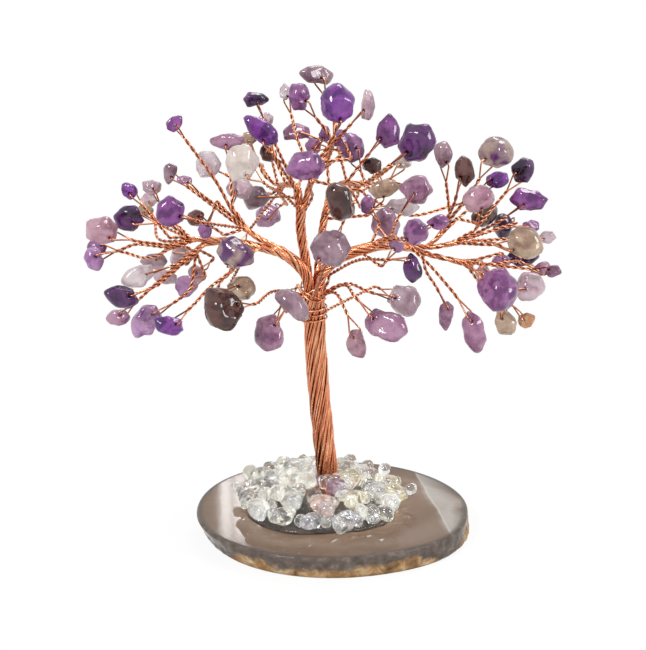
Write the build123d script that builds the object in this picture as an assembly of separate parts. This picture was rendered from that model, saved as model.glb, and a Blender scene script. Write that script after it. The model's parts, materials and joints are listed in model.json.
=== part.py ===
from build123d import *
import math
import os
import numpy as np

os.makedirs("parts", exist_ok=True)

# Overall sizes, in millimetres
TREE_HEIGHT = 123.5
CROWN_DEPTH = 96.0
SLICE_WIDTH = 72.0
SLICE_DEPTH = 66.0
SLICE_THICKNESS = 6.0
SLICE_CHAMFER = 0.7
TRUNK_SETBACK = 4.0

# Wire: every chip hangs on one wire, folded and twisted on itself
WIRE_DIAMETER = 0.35
WIRE_CLEARANCE = 0.12
BINDING_DIAMETER = 0.5
BINDING_PITCH = 1.5
BINDING_TURNS = 3
BINDING_CLEARANCE = 0.25
TWIG_LEAD = 1.4
TWIG_APPROACH = 2.4
LIMB_LEAD = 2.2
FLARE_LENGTH = 4.0
FOOT_RISE = 4.0

# Chips: drilled, and held in an open loop of the wire
CHIP_LENGTH = 10.0
CHIP_CLEARANCE = 0.2
HUNG_CLEARANCE = 0.35
HOLE_DIAMETER = 0.95
LOOP_REACH = 2.5
LOOP_LIFT = 1.0
DEPTH_STEP = 2.2
BOW_STEP = 2.6
HUNG_SWING_DEGREES = 20.0

# Foot: splayed wire ends in clear glue, under a pile of clear chips
ROOT_RISE = 3.2
ROOT_LENGTH = 10.0
GLUE_DIAMETER = 45.0
GLUE_HEIGHT = 6.6
GLUE_FILM = 0.06
TRUNK_FILM = 0.2
ROOT_FILM = 0.09
QUARTZ_LENGTH = 8.2
QUARTZ_CLEARANCE = 0.15
SEAT_FILM = 0.12

# Shares of the sizes above
TWIG_RADIUS_SHARE = 1.3
LOOP_RADIUS_SHARE = 0.6
LEG_SPREAD_SHARE = 0.5
PACKING_SHARE = 0.85
GROOVE_SHARE = 0.84
LAY_SHARE = 27.0
CHIP_FACE_SHARE = 0.66
CHIP_FULLNESS_SHARE = 1.06
FACING_SHARE = 0.75
HOLE_INSET_SHARE = 0.4
HUNG_INSET_SHARE = 0.5
APPROACH_DEPTH_SHARE = 0.4
MIDDLE_RING_SHARE = 0.1
ROOT_BEND_SHARE = 0.62
ROOT_PACKING_SHARE = 0.97
ROOT_THINNER_SHARE = 0.98
ROOT_STEP_SHARE = 1.5
ROOT_UNEVEN_SHARE = 0.15
RIM_BAR_SHARE = 0.7
SEAT_SHARE = 1.4
FLARE_MOST_SHARE = 0.5
PEBBLE_SIDE_SHARE = 0.7
PEBBLE_CORE_SHARE = 0.1

# How finely the ropes are made
TRUNK_FLUTES_AND_BANDS = (16, 9)
LIMB_FLUTES_AND_BANDS = (8, 6)
BRANCH_FLUTES_AND_BANDS = (6, 4)
BAND_POWER = 1.5
FLARE_POWER = 1.5
RIM_BARS = 8
TWIG_SIDES = 4
HOLE_SIDES = 4
BINDING_SIDES = 4
BINDING_SAMPLES = 400
ROOT_COUNT = 6
ROOT_SIDES = 6
SHAFT_SIDES = 12
MOUND_SIDES = 20

# The view from which places on the tree are given, as pixels of a 646 by 650 picture
PICTURE_MIDDLE_PIXELS = (323.0, 325.0)
FOCAL_PIXELS = 1751.0
CHIP_PIXELS = 40.0
SLIDE_PIXELS = 5.0
EYE_DISTANCE_SHARE = 3.48
EYE_HEIGHT_SHARE = 1.493
EYE_SIDE_SHARE = -0.0223
EYE_PITCH = math.radians(16.64)
EYE = np.array([EYE_SIDE_SHARE, -EYE_DISTANCE_SHARE, EYE_HEIGHT_SHARE]) * TREE_HEIGHT
FORWARD = np.array([0, math.cos(EYE_PITCH), -math.sin(EYE_PITCH)])
UPWARD = np.array([0, math.sin(EYE_PITCH), math.cos(EYE_PITCH)])
SIDEWAYS = np.array([1, 0, 0])

# The slice's rim: angle in degrees, then shares of the half sizes at the top and at the bottom
RIM_SHARES = [
    (0, 0.985, 1.005), (30, 0.99, 1.0), (60, 1.005, 1.0), (90, 1.0, 0.985),
    (118, 1.03, 1.0), (147, 1.02, 0.97), (175, 1.0, 0.96), (205, 1.02, 0.96),
    (235, 1.03, 0.99), (265, 1.02, 1.0), (295, 1.0, 0.995), (325, 1.015, 1.02),
]

# Trunk: pixels and depth share of its middle line, foot first
TRUNK_PIXELS = [
    (326, 462, 0), (321.5, 425, 0), (317.5, 385, 0), (315, 350, 0), (314, 318, 0),
    (313.5, 298, 0), (313, 281, 0),
]
TRUNK_FOOT_PIXELS = (328.5, 484)
BINDING_PIXELS = (314, 312, 0)
PILE_PIXELS = (320, 507)

# Branches: name, parent, then pixels and depth share of each place on the way to its head
BRANCH_PIXELS = [
    ("left_limb", "trunk", [(300, 262, -0.06), (284, 251, -0.07), (266, 246, -0.05)]),
    ("centre_limb", "trunk", [(307, 256, 0.04), (297, 236, 0.05), (299, 216, 0.02), (303, 197, 0)]),
    ("side_limb", "trunk", [(319, 252, 0.1), (322, 232, 0.12), (323, 211, 0.07), (332, 195, 0.16)]),
    ("right_limb", "trunk", [(327, 260, -0.03), (347, 251, -0.06), (367, 247, -0.06), (386, 245, -0.05)]),
    ("upper_left_branch", "left_limb", [(250, 232, 0), (233, 218, 0)]),
    ("left_branch", "left_limb", [(246, 243, 0), (226, 240, 0.03), (208, 241, 0.04)]),
    ("low_left_branch", "left_limb", [(250, 255, -0.12), (238, 265, -0.17), (224, 275, -0.18)]),
    ("outer_left_branch", "left_branch", [(192, 239, 0.02), (176, 242, 0)]),
    ("lower_left_branch", "left_branch", [(198, 250, 0.08), (187, 262, 0.1)]),
    ("crown_branch", "centre_limb", [(311, 179, 0), (323, 162, 0)]),
    ("back_left_branch", "centre_limb", [(297, 181, 0.1), (289, 179, 0.26), (277, 189, 0.42)]),
    ("back_right_branch", "side_limb", [(337, 182, 0.3), (347, 177, 0.42), (361, 188, 0.54)]),
    ("right_branch", "right_limb", [(405, 246, -0.03), (422, 249, 0)]),
    ("right_upper_branch", "right_branch", [(438, 240, 0.08), (450, 220, 0.05)]),
    ("outer_right_branch", "right_branch", [(440, 247, -0.04), (456, 243, -0.05), (470, 238, -0.04)]),
    ("lower_right_branch", "right_branch", [(439, 257, -0.1), (460, 262, -0.12), (480, 267, -0.12)]),
]

# Chips: pixels of the middle, length and breadth, tilt in degrees, depth share, and perhaps the stem's bend
CHIP_ROWS = {
    "trunk": [
        (333, 247, 38, 36, 60, -0.75), (293, 305, 54, 28, -5, -0.75), (269, 336, 45, 38, 100, -0.45),
        (221, 311, 50, 45, 80, -0.7, (262, 300)), (384, 326, 52, 34, -15, -0.4, (353, 300)),
        (405, 302, 40, 38, 60, -0.2, (360, 290)), (270, 330, 30, 26, 90, 0.55), (290, 303, 30, 20, 0, 0.8),
        (402, 300, 30, 26, 0, 0.6),
    ],
    "upper_left_branch": [
        (168, 211, 37, 36, 60, -0.5), (173, 123, 24, 17, 40, 0.0, (200, 176)), (169, 173, 30, 19, 80, 0.05),
        (184, 180, 20, 15, 0, -0.15), (206, 165, 28, 26, 90, 0.1), (194, 217, 24, 22, 0, 0.15),
        (205, 230, 22, 16, 90, -0.1), (228, 141, 42, 19, 5, 0.2), (238, 188, 34, 22, 0, 0.15),
    ],
    "outer_left_branch": [
        (125, 217, 39, 30, -10, -0.1), (102, 232, 38, 30, 20, -0.15),
        (92, 260, 30, 25, -60, -0.1, (120, 249)),
        (98, 247, 20, 16, 0, 0.2), (128, 188, 24, 18, -60, 0.0), (152, 187, 20, 16, 0, 0.3),
        (149, 201, 20, 15, 0, 0.5), (143, 210, 20, 16, 0, 0.3),
    ],
    "lower_left_branch": [
        (137, 278, 45, 25, 25, -0.1), (155, 261, 30, 18, 0, 0.2), (165, 278, 28, 20, 0, 0.4),
        (120, 298, 42, 30, -15, -0.3), (147, 320, 42, 28, 60, -0.1), (178, 255, 24, 16, 0, 0.45),
        (186, 287, 24, 22, 0, 0.1), (197, 274, 22, 18, 90, 0.25), (119, 318, 26, 18, 0, 0.1),
    ],
    "low_left_branch": [
        (236, 253, 42, 27, 0, -0.7), (171, 326, 33, 22, -25, -0.4, (196, 300)), (243, 289, 36, 28, 0, -0.1),
        (238, 307, 20, 14, 90, 0.15),
    ],
    "centre_limb": [
        (308, 166, 45, 28, 0, -0.75), (240, 161, 42, 38, 0, -0.5, (268, 180)), (262, 130, 50, 22, -45, -0.3),
        (255, 99, 31, 20, 0, -0.05), (255, 198, 30, 30, 0, 0.4), (266, 153, 22, 20, 0, 0.4),
    ],
    "crown_branch": [
        (339, 105, 40, 38, 70, -0.3), (316, 73, 44, 26, 0, 0.0, (322, 115)), (299, 97, 30, 24, 90, -0.1),
        (285, 93, 20, 14, 90, 0.3), (297, 133, 29, 18, 0, 0.5), (312, 147, 20, 16, 90, 0.35),
        (324, 134, 20, 14, 90, 0.15), (341, 136, 20, 16, 90, 0.3), (351, 152, 32, 30, 0, 0.35),
    ],
    "side_limb": [
        (340, 203, 42, 28, -5, -0.65), (417, 143, 45, 42, 60, -0.3), (387, 132, 37, 26, 80, 0.0),
        (368, 105, 36, 19, 80, 0.1, (350, 148)), (385, 188, 40, 22, 0, -0.15, (354, 202)),
    ],
    "right_limb": [
        (417, 233, 33, 30, 40, -0.5), (437, 222, 22, 16, 10, -0.3), (398, 246, 20, 15, 0, -0.3),
        (385, 226, 29, 25, 0, 0.3), (417, 187, 40, 38, 0, 0.15),
        (368, 206, 24, 16, 90, 0.1),
    ],
    "right_upper_branch": [
        (495, 152, 39, 36, 60, -0.2), (464, 168, 37, 24, 90, -0.1), (443, 155, 32, 20, 90, 0.05),
        (480, 197, 42, 25, 0, -0.2), (497, 179, 26, 18, 0, 0.2), (484, 215, 29, 20, 0, 0.3),
    ],
    "outer_right_branch": [
        (524, 245, 38, 32, 0, -0.3), (531, 199, 46, 26, 5, -0.2), (525, 170, 32, 26, 80, 0.0),
        (502, 224, 27, 22, 90, 0.35), (531, 226, 20, 15, 0, 0.3), (547, 238, 20, 14, 0, 0.0),
        (525, 258, 44, 20, 0, 0.15),
    ],
    "lower_right_branch": [
        (498, 288, 50, 37, 80, -0.4), (530, 288, 38, 34, 60, 0.0), (541, 270, 24, 15, 0, 0.3),
        (552, 272, 20, 14, 0, -0.1), (502, 262, 22, 17, 0, 0.1), (482, 273, 20, 16, 0, 0.25),
        (504, 322, 28, 24, 90, -0.1), (526, 321, 26, 18, 0, 0.0),
    ],
    "back_left_branch": [
        (240, 163, 30, 26, 0, 0.85), (262, 132, 30, 20, -45, 0.7), (308, 168, 30, 20, 0, 0.85),
        (236, 251, 28, 22, 0, 0.8), (268, 215, 26, 22, 30, 0.95), (205, 165, 22, 20, 0, 0.7),
        (248, 138, 20, 16, 0, 0.45), (266, 116, 18, 16, 0, 0.35),
    ],
    "back_right_branch": [
        (339, 107, 28, 24, 90, 0.7), (417, 146, 30, 28, 0, 0.65), (416, 190, 30, 26, 0, 0.8),
        (386, 189, 28, 18, 0, 0.85), (333, 246, 30, 28, 0, 0.85), (480, 198, 26, 20, 0, 0.6),
        (405, 163, 20, 16, 0, 0.45), (400, 207, 38, 18, 0, 0.45),
        (372, 165, 24, 20, 0, 0.4),
    ],
}

# Chips that hang free below an open loop: name, then the same columns
HUNG_ROWS = {
    "trunk": [
        ("hanging_chip_front", (357, 345, 36, 20, 90, -0.35, (342, 308))),
        ("hanging_chip_right", (412, 268, 36, 20, 90, -0.5, (372, 262))),
    ],
    "right_branch": [
        ("hanging_chip_low", (473, 331, 46, 30, -80, -0.3, (440, 284))),
        ("hanging_chip_side", (447, 316, 32, 17, 90, 0.12, (430, 285))),
    ],
}

# Six corners of each kind of chip, as shares of its half length and half breadth
OUTLINE_SHARES = [
    (1.0, 0.92, 1.0, 0.94, 0.98, 0.86),
    (0.96, 1.0, 0.86, 1.0, 0.9, 1.0),
    (1.0, 0.84, 0.98, 0.9, 1.0, 1.0),
    (0.9, 1.0, 1.0, 0.96, 0.82, 1.0),
    (1.0, 1.0, 0.9, 0.86, 1.0, 0.92),
]
THICKNESS_SHARES = (0.56, 0.62, 0.52, 0.6, 0.66)
ROLL_DEGREES = (12, -22, 28, -8, -30, 18, 4)

# Search for a free place: the most steps in depth and in the twig's bow, and the cost of a move
MOST_SHIFTS = 6
MOST_BOWS = 3
BOW_SIDES = 8
SLIDE_COST = 4
TIE = 1e-9

# Foot pile: rings of chips, as a share of the glue's radius, a count and a share of the length
QUARTZ_BREADTH_SHARES = (0.82, 0.75)
QUARTZ_THICKNESS_SHARE = 1.1
QUARTZ_SMALLER_SHARES = (0, 0.06, 0.12)
QUARTZ_TURN_SHARE = 0.12
QUARTZ_PUSH_SHARE = 0.06
QUARTZ_TRIES = 4
QUARTZ_TILT_DEGREES = (24, 15, 6, -3)
QUARTZ_TWIST_DEGREES = (0, 35, 70, 105, 140)
QUARTZ_RING_SHARES = {
    "quartz_chips_outer": (0.87, 15, 0.9),
    "quartz_chips_middle": (0.63, 10, 0.95),
    "quartz_chips_inner": (0.4, 5, 0.85),
}

# The glue's mound: shares of its radius and of its height, from the rim to the top
MOUND_SHARES = [(1.0, 0.0), (0.97, 0.16), (0.62, 0.5), (0.34, 0.86), (0.24, 1.0)]
MOUND_LOBES_SHARES = ((3, 0.05), (5, 0.03))


def unit(vector):
    return vector / np.linalg.norm(vector)


def ray(pixels):
    """Direction of the line of sight through a pixel, one unit deep."""
    right, down = (np.array(pixels[:2]) - PICTURE_MIDDLE_PIXELS) / FOCAL_PIXELS
    return FORWARD + right * SIDEWAYS - down * UPWARD


def spot(pixels, depth):
    """The place seen at a pixel, at a distance behind the trunk's plane."""
    sight = ray(pixels)
    return EYE + sight * (TRUNK_SETBACK + depth - EYE[1]) / sight[1]


def spot_at_share(row):
    return spot(row, row[2] * CROWN_DEPTH / 2)


def floor_spot(pixels, height):
    sight = ray(pixels)
    return EYE + sight * (height - EYE[2]) / sight[2]


def polygon_face(corners):
    return Face(Wire.make_polygon([Vector(*corner) for corner in corners], close=True))


def skinned(rings, flat=False):
    """A closed solid through rings of corners, with flat facets."""
    count = len(rings[0])
    faces = [polygon_face(rings[0][::-1]), polygon_face(rings[-1])]
    for low, high in zip(rings, rings[1:]):
        for here in range(count):
            there = (here + 1) % count
            if flat:
                faces.append(polygon_face([low[here], low[there], high[there], high[here]]))
            else:
                faces.append(polygon_face([low[here], low[there], high[there]]))
                faces.append(polygon_face([low[here], high[there], high[here]]))
    return Solid(Shell(faces))


def mitred_rings(path, first_ring, last_normal=None):
    """A tube's rings along straight runs: each joint lies in the plane that halves its turn."""
    runs = [unit(b - a) for a, b in zip(path, path[1:])]
    rings = [np.array(first_ring)]
    for index, run in enumerate(runs):
        place = path[index + 1]
        if index + 1 < len(runs):
            normal = unit(run + runs[index + 1])
        else:
            normal = run if last_normal is None else last_normal
        reach = (place - rings[-1]) @ normal / (run @ normal)
        rings.append(rings[-1] + reach[:, None] * run)
    return rings


def cross_axes(along, near=SIDEWAYS):
    """Two directions square to a direction and to each other."""
    first = near - (near @ along) * along
    if np.linalg.norm(first) < math.sin(EYE_PITCH):
        first = UPWARD - (UPWARD @ along) * along
    first = unit(first)
    return first, np.cross(along, first)


def ring_of(centre, first, second, radius, count, turn=0):
    angles = [turn + 2 * math.pi * index / count for index in range(count)]
    return [centre + radius * (math.cos(a) * first + math.sin(a) * second) for a in angles]


def tube(path, radius, sides, near=SIDEWAYS):
    along = unit(path[1] - path[0])
    first, second = cross_axes(along, near)
    start = ring_of(path[0], first, second, radius, sides, math.pi / sides)
    return skinned(mitred_rings(path, start), flat=True)


# Room kept by the wires and chips already in place, as round-ended bars
class Room:
    def __init__(self):
        self.starts = np.zeros((0, 3))
        self.ends = np.zeros((0, 3))
        self.radii = np.zeros(0)

    def add(self, bars):
        self.starts = np.vstack([self.starts, [bar[0] for bar in bars]])
        self.ends = np.vstack([self.ends, [bar[1] for bar in bars]])
        self.radii = np.append(self.radii, [bar[2] for bar in bars])

    def gap(self, bars):
        """Least clear distance from new bars to those in place."""
        starts = np.array([bar[0] for bar in bars])[:, None]
        ends = np.array([bar[1] for bar in bars])[:, None]
        radii = np.array([bar[2] for bar in bars])[:, None]
        low = np.minimum(starts, ends).min(0) - radii.max()
        high = np.maximum(starts, ends).max(0) + radii.max()
        reach = self.radii[:, None]
        near = np.all(np.minimum(self.starts, self.ends) - reach < high, axis=1)
        near &= np.all(np.maximum(self.starts, self.ends) + reach > low, axis=1)
        if not near.any():
            return math.inf
        ours, theirs = ends - starts, (self.ends - self.starts)[near][None]
        apart = starts - self.starts[near][None]
        a, e = (ours * ours).sum(-1), (theirs * theirs).sum(-1)
        b, c, f = (ours * theirs).sum(-1), (ours * apart).sum(-1), (theirs * apart).sum(-1)
        share = np.clip((b * f - c * e) / np.maximum(a * e - b * b, a * e * 1e-9), 0, 1)
        other = np.clip((b * share + f) / e, 0, 1)
        share = np.clip((b * other - c) / a, 0, 1)
        miss = apart + ours * share[..., None] - theirs * other[..., None]
        return (np.linalg.norm(miss, axis=-1) - radii - self.radii[near][None]).min()


def bars_along(path, radius):
    return [(a, b, radius) for a, b in zip(path, path[1:])]


# Ropes: bundles of twisted wires
def bundle_radius(chips):
    """Radius of a round bundle of the wires of so many chips, two strands each."""
    return WIRE_DIAMETER / 2 * math.sqrt(2 * chips / PACKING_SHARE)


TWIG_RADIUS = WIRE_DIAMETER / 2 * 2 * TWIG_RADIUS_SHARE
LOOP_RADIUS = WIRE_DIAMETER * LOOP_RADIUS_SHARE


def rope(stations, radii, flutes, lay):
    """A twisted rope: a fluted section turned along a curve and skinned."""
    first = None
    turn = 0
    rings = []
    for index, (place, along) in enumerate(stations):
        first, second = cross_axes(along, SIDEWAYS if first is None else first)
        if index:
            turn += 2 * math.pi * np.linalg.norm(place - stations[index - 1][0]) / lay
        ridges = ring_of(place, first, second, radii[index], flutes, turn)
        sunk = radii[index] * GROOVE_SHARE
        grooves = ring_of(place, first, second, sunk, flutes, turn + math.pi / flutes)
        rings.append([corner for pair in zip(ridges, grooves) for corner in pair])
    return skinned(rings)


def stations_along(points, shares):
    """Places and directions along a smooth curve that the points draw towards them."""
    curve = Bezier(*[Vector(*point) for point in points])
    return [(np.array(tuple(curve @ share)), unit(np.array(tuple(curve % share)))) for share in shares]


def circle_for(radii, gap):
    """Radius of the circle on which round seats of these radii just fit side by side."""
    if len(radii) == 1:
        return 0
    pairs = [a + b + gap for a, b in zip(radii, radii[1:] + radii[:1])]
    low, high = max(pairs) / 2, sum(pairs)
    for _ in range(60):
        middle = (low + high) / 2
        if sum(2 * math.asin(pair / 2 / middle) for pair in pairs) > 2 * math.pi:
            low = middle
        else:
            high = middle
    return high


def seat_angles(radii, gap, circle):
    """Even places round a seat circle, each as wide as its seat needs."""
    if len(radii) == 1:
        return [0]
    pairs = zip(radii, radii[1:] + radii[:1])
    steps = [2 * math.asin(min(1, (a + b + gap) / 2 / circle)) for a, b in pairs]
    slack = (2 * math.pi - sum(steps)) / len(steps)
    angles = [0]
    for step in steps[:-1]:
        angles.append(angles[-1] + step + slack)
    return angles


def seats(head, along, targets, radii, gap, inner):
    """Seats on a rope's head for what leaves it, each on the side that its target lies."""
    first, second = cross_axes(along)
    leans = [math.atan2((target - head) @ second, (target - head) @ first) for target in targets]
    order = sorted(range(len(targets)), key=lambda index: leans[index])
    sizes = [radii[index] for index in order]
    circle = max(circle_for(sizes, gap), inner + max(sizes) + gap if inner else 0)
    angles = seat_angles(sizes, gap, circle) if circle else [0] * len(sizes)
    drift = [leans[index] - angle for index, angle in zip(order, angles)]
    turn = math.atan2(sum(math.sin(d) for d in drift), sum(math.cos(d) for d in drift))
    places = {}
    for index, angle in zip(order, angles):
        aside = math.cos(angle + turn) * first + math.sin(angle + turn) * second
        places[index] = head + circle * aside
    return [places[index] for index in range(len(targets))], circle + max(sizes)


def children_of(name):
    return [row for row in BRANCH_PIXELS if row[1] == name]


def twig_rows(name):
    fixed = [(None, row) for row in CHIP_ROWS.get(name, [])]
    return fixed + HUNG_ROWS.get(name, [])


def chips_served(name):
    return len(twig_rows(name)) + sum(chips_served(row[0]) for row in children_of(name))


ropes = {}
room = Room()
heads = {}


def rope_bars(stations, radii, slim, wide):
    """Room that a rope takes: its run, short of its flat ends, and the rim of its head."""
    head, along = stations[-1]
    places = [place for place, _ in stations]
    places[0] = places[0] + stations[0][1] * slim
    bars = []
    for a, b, radius in zip(places, places[1:], radii):
        left = (head - b) @ along
        if left > radius:
            bars.append((a, b, radius))
    end = head - along * slim
    bars.append((bars[-1][1] if bars else places[0], end, slim))
    thin = RIM_BAR_SHARE * WIRE_DIAMETER
    for (place, way), radius in zip(stations[-2:], (radii[-2], wide)):
        ring = ring_of(place - way * WIRE_DIAMETER, *cross_axes(way), radius - thin, RIM_BARS)
        bars += [(a, b, thin) for a, b in zip(ring, ring[1:] + ring[:1])]
    return bars


def grow(name, points, flutes, bands):
    """One rope from its seat to its head, flared there for the seats of what leaves it."""
    length = sum(np.linalg.norm(b - a) for a, b in zip(points, points[1:]))
    flare = 1 - min(FLARE_MOST_SHARE, FLARE_LENGTH / length)
    shares = [flare * (band / bands) ** BAND_POWER for band in range(bands + 1)] + [(1 + flare) / 2, 1]
    stations = stations_along(points, shares)
    head, along = stations[-1]
    branches = children_of(name)
    twigs = twig_rows(name)
    gap = WIRE_CLEARANCE * SEAT_SHARE
    inner = 0
    branch_seats = []
    if branches:
        targets = [spot_at_share(row[2][0]) for row in branches]
        radii = [bundle_radius(chips_served(row[0])) for row in branches]
        branch_seats, inner = seats(head, along, targets, radii, gap, 0)
    reach = inner
    if twigs:
        targets = [spot_at_share((row[0], row[1], row[5])) for _, row in twigs]
        twig_seats, reach = seats(head, along, targets, [TWIG_RADIUS] * len(twigs), gap, inner)
        heads[name] = (along, twig_seats)
    slim = bundle_radius(chips_served(name))
    wide = max(slim, reach + gap)
    spread = [(max(0, share - flare) / (1 - flare)) ** FLARE_POWER for share in shares]
    radii = [slim + (wide - slim) * part for part in spread]
    ropes[name] = rope(stations, radii, flutes, LAY_SHARE * slim)
    room.add(rope_bars(stations, radii, slim, wide))
    for row, seat in zip(branches, branch_seats):
        start = seat + along * LIMB_LEAD
        way = [seat, start] + [spot_at_share(place) for place in row[2]]
        grow(row[0], way, *(LIMB_FLUTES_AND_BANDS if name == "trunk" else BRANCH_FLUTES_AND_BANDS))


foot = floor_spot(TRUNK_FOOT_PIXELS, SLICE_THICKNESS + ROOT_RISE)
foot[1] = TRUNK_SETBACK
above = foot + np.array([0, 0, FOOT_RISE])
trunk_points = [foot, above] + [spot_at_share(place) for place in TRUNK_PIXELS]
grow("trunk", trunk_points, *TRUNK_FLUTES_AND_BANDS)


# Chips
def pebble_rings(centre, axes, halves, kind):
    """Rings of a flat-faced pebble, widest near its middle."""
    shares = OUTLINE_SHARES[kind % len(OUTLINE_SHARES)]
    turn = math.pi / len(shares) * (kind % 3)
    rings = []
    middle = MIDDLE_RING_SHARE * (-1) ** kind
    for level, size in ((-1, CHIP_FACE_SHARE), (middle, 1), (1, CHIP_FACE_SHARE)):
        ring = []
        for index, share in enumerate(shares):
            angle = turn + 2 * math.pi / len(shares) * index
            flat = halves[0] * math.cos(angle) * axes[0] + halves[1] * math.sin(angle) * axes[1]
            ring.append(centre + size * share * flat + level * halves[2] * axes[2])
        rings.append(ring)
    return rings


def pebble_bars(centre, axes, halves, extra):
    """Room that a pebble takes: three round-ended bars side by side."""
    bars = []
    for side, reach in ((-1, PEBBLE_SIDE_SHARE), (0, 1), (1, PEBBLE_SIDE_SHARE)):
        middle = centre + axes[1] * side * (halves[1] - halves[2])
        half = axes[0] * max(halves[0] * reach - halves[2], halves[2] * PEBBLE_CORE_SHARE)
        bars.append((middle - half, middle + half, halves[2] + extra))
    return bars


class Chip:
    """One drilled chip, its twig and its loop."""

    def __init__(self, seat, along, row, kind, depth_shift, push, hung):
        px, py, length, breadth, tilt, share = row[:6]
        depth = share * CROWN_DEPTH / 2 + depth_shift
        self.centre = spot((px, py), depth)
        near = (self.centre - EYE) @ FORWARD / (EYE_DISTANCE_SHARE * TREE_HEIGHT)
        lead = seat + along * TWIG_LEAD
        middle_depth = (seat[1] - TRUNK_SETBACK + depth) / 2
        bend = spot(row[6], middle_depth) if len(row) > 6 else (lead + self.centre) / 2
        bend = bend + push
        damping = np.array([1, APPROACH_DEPTH_SHARE, 1])
        self.enter = unit((self.centre - bend) * damping)
        sight = unit(EYE - self.centre)
        if hung:
            self.normal = unit(np.cross(self.enter, [0, 0, 1]))
        else:
            facing = unit(sight - (sight @ self.enter) * self.enter)
            roll = math.radians(ROLL_DEGREES[kind % len(ROLL_DEGREES)])
            self.normal = facing * math.cos(roll) + np.cross(self.enter, facing) * math.sin(roll)
        if self.normal @ sight < 0:
            self.normal = -self.normal
        slope = math.radians(tilt)
        longways = SIDEWAYS * math.cos(slope) + UPWARD * math.sin(slope)
        self.u = unit(longways - (longways @ self.normal) * self.normal)
        self.v = np.cross(self.normal, self.u)
        half = CHIP_LENGTH / CHIP_PIXELS * near / 2 * CHIP_FULLNESS_SHARE
        self.a = length * half / max(FACING_SHARE, np.linalg.norm(np.cross(self.u, sight)))
        self.b = breadth * half / max(FACING_SHARE, np.linalg.norm(np.cross(self.v, sight)))
        self.c = min(self.a, self.b) * THICKNESS_SHARES[kind % len(THICKNESS_SHARES)]
        self.kind = kind
        self.hung = hung
        inset = HUNG_INSET_SHARE if hung else HOLE_INSET_SHARE
        side = np.array([0, 0, 1]) if hung else -self.enter
        self.hole = self.centre + unit(side) * self.edge(side) * inset
        reach = self.edge_from(self.hole, -self.enter) + LOOP_REACH
        self.stem_end = self.hole - self.enter * reach
        approach = self.stem_end - self.enter * TWIG_APPROACH
        bow = bend - (lead + self.centre) / 2
        halfway = [(lead + approach) / 2 + bow] if np.linalg.norm(bow) > TIE else []
        self.stem = [seat, lead, *halfway, approach, self.stem_end]

    def edge(self, direction):
        """Half size of the outline along a direction."""
        direction = unit(direction)
        return 1 / math.hypot(direction @ self.u / self.a, direction @ self.v / self.b)

    def edge_from(self, place, direction):
        """Way from a place inside the outline to its edge."""
        p = np.array([(place - self.centre) @ self.u / self.a, (place - self.centre) @ self.v / self.b])
        d = np.array([direction @ self.u / self.a, direction @ self.v / self.b])
        half = p @ d / (d @ d)
        return -half + math.sqrt(max(0, half * half - (p @ p - 1) / (d @ d)))

    def loop_path(self):
        spread = self.normal * WIRE_DIAMETER * LEG_SPREAD_SHARE
        lift = self.normal * (self.c + LOOP_LIFT)
        return [self.stem_end + spread, self.hole + lift, self.hole - lift, self.stem_end - spread]

    def chip_bars(self, extra, swing=0):
        u = self.u * math.cos(swing) + self.v * math.sin(swing)
        v = self.v * math.cos(swing) - self.u * math.sin(swing)
        away = self.centre - self.hole
        centre = self.hole + away * math.cos(swing) + np.cross(self.normal, away) * math.sin(swing)
        return pebble_bars(centre, (u, v, self.normal), (self.a, self.b, self.c), extra)

    def bars(self):
        path = [self.stem[0] + unit(self.stem[1] - self.stem[0]) * TWIG_RADIUS] + self.stem[1:]
        bars = bars_along(path, TWIG_RADIUS + WIRE_CLEARANCE / 2)
        path = self.loop_path()
        for leg in (path[:2], path[2:]):
            bars += bars_along(leg, LOOP_RADIUS + WIRE_CLEARANCE)
        if not self.hung:
            return bars + self.chip_bars(CHIP_CLEARANCE / 2)
        limit = math.radians(HUNG_SWING_DEGREES)
        for swing in (0, -limit, limit):
            bars += self.chip_bars(HUNG_CLEARANCE / 2, swing)
        return bars

    def solid(self):
        """The chip's pebble with its drilled hole."""
        axes, halves = (self.u, self.v, self.normal), (self.a, self.b, self.c)
        stone = skinned(pebble_rings(self.centre, axes, halves, self.kind))
        depth = self.normal * self.c * 2
        first = unit(np.cross(self.normal, self.enter))
        second = np.cross(self.normal, first)
        turn = math.pi / HOLE_SIDES
        start = ring_of(self.hole - depth, first, second, HOLE_DIAMETER / 2, HOLE_SIDES, turn)
        drill = skinned([start, [corner + 2 * depth for corner in start]], flat=True)
        return Solid((stone - drill).solids()[0].wrapped)

    def loop(self):
        path = self.loop_path()
        across = np.cross(self.enter, self.normal)
        ring = ring_of(path[0], self.normal, across, LOOP_RADIUS, TWIG_SIDES, math.pi / TWIG_SIDES)
        return skinned(mitred_rings(path, ring, last_normal=self.enter), flat=True)

    def twig(self):
        return tube(self.stem, TWIG_RADIUS, TWIG_SIDES, self.normal)


def trials(toward):
    """Small shifts in depth, bows of the twig and moves across the picture, the least first."""
    first, second = cross_axes(unit(toward))
    bows = [(0, np.zeros(3))]
    for size in range(1, MOST_BOWS + 1):
        for way in ring_of(np.zeros(3), first, second, size * BOW_STEP, BOW_SIDES):
            bows.append((size, way))
    shifts = [(abs(step), step * DEPTH_STEP) for step in range(-MOST_SHIFTS, MOST_SHIFTS + 1)]
    slides = [(0, (0, 0))] + [(SLIDE_COST, way) for way in ((1, 0), (-1, 0), (0, 1), (0, -1))]
    options = []
    for cost, shift in shifts:
        for extra, bow in bows:
            options += [(cost + extra + more, shift, bow, slide) for more, slide in slides]
    return [option[1:] for option in sorted(options, key=lambda option: option[0])]


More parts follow.
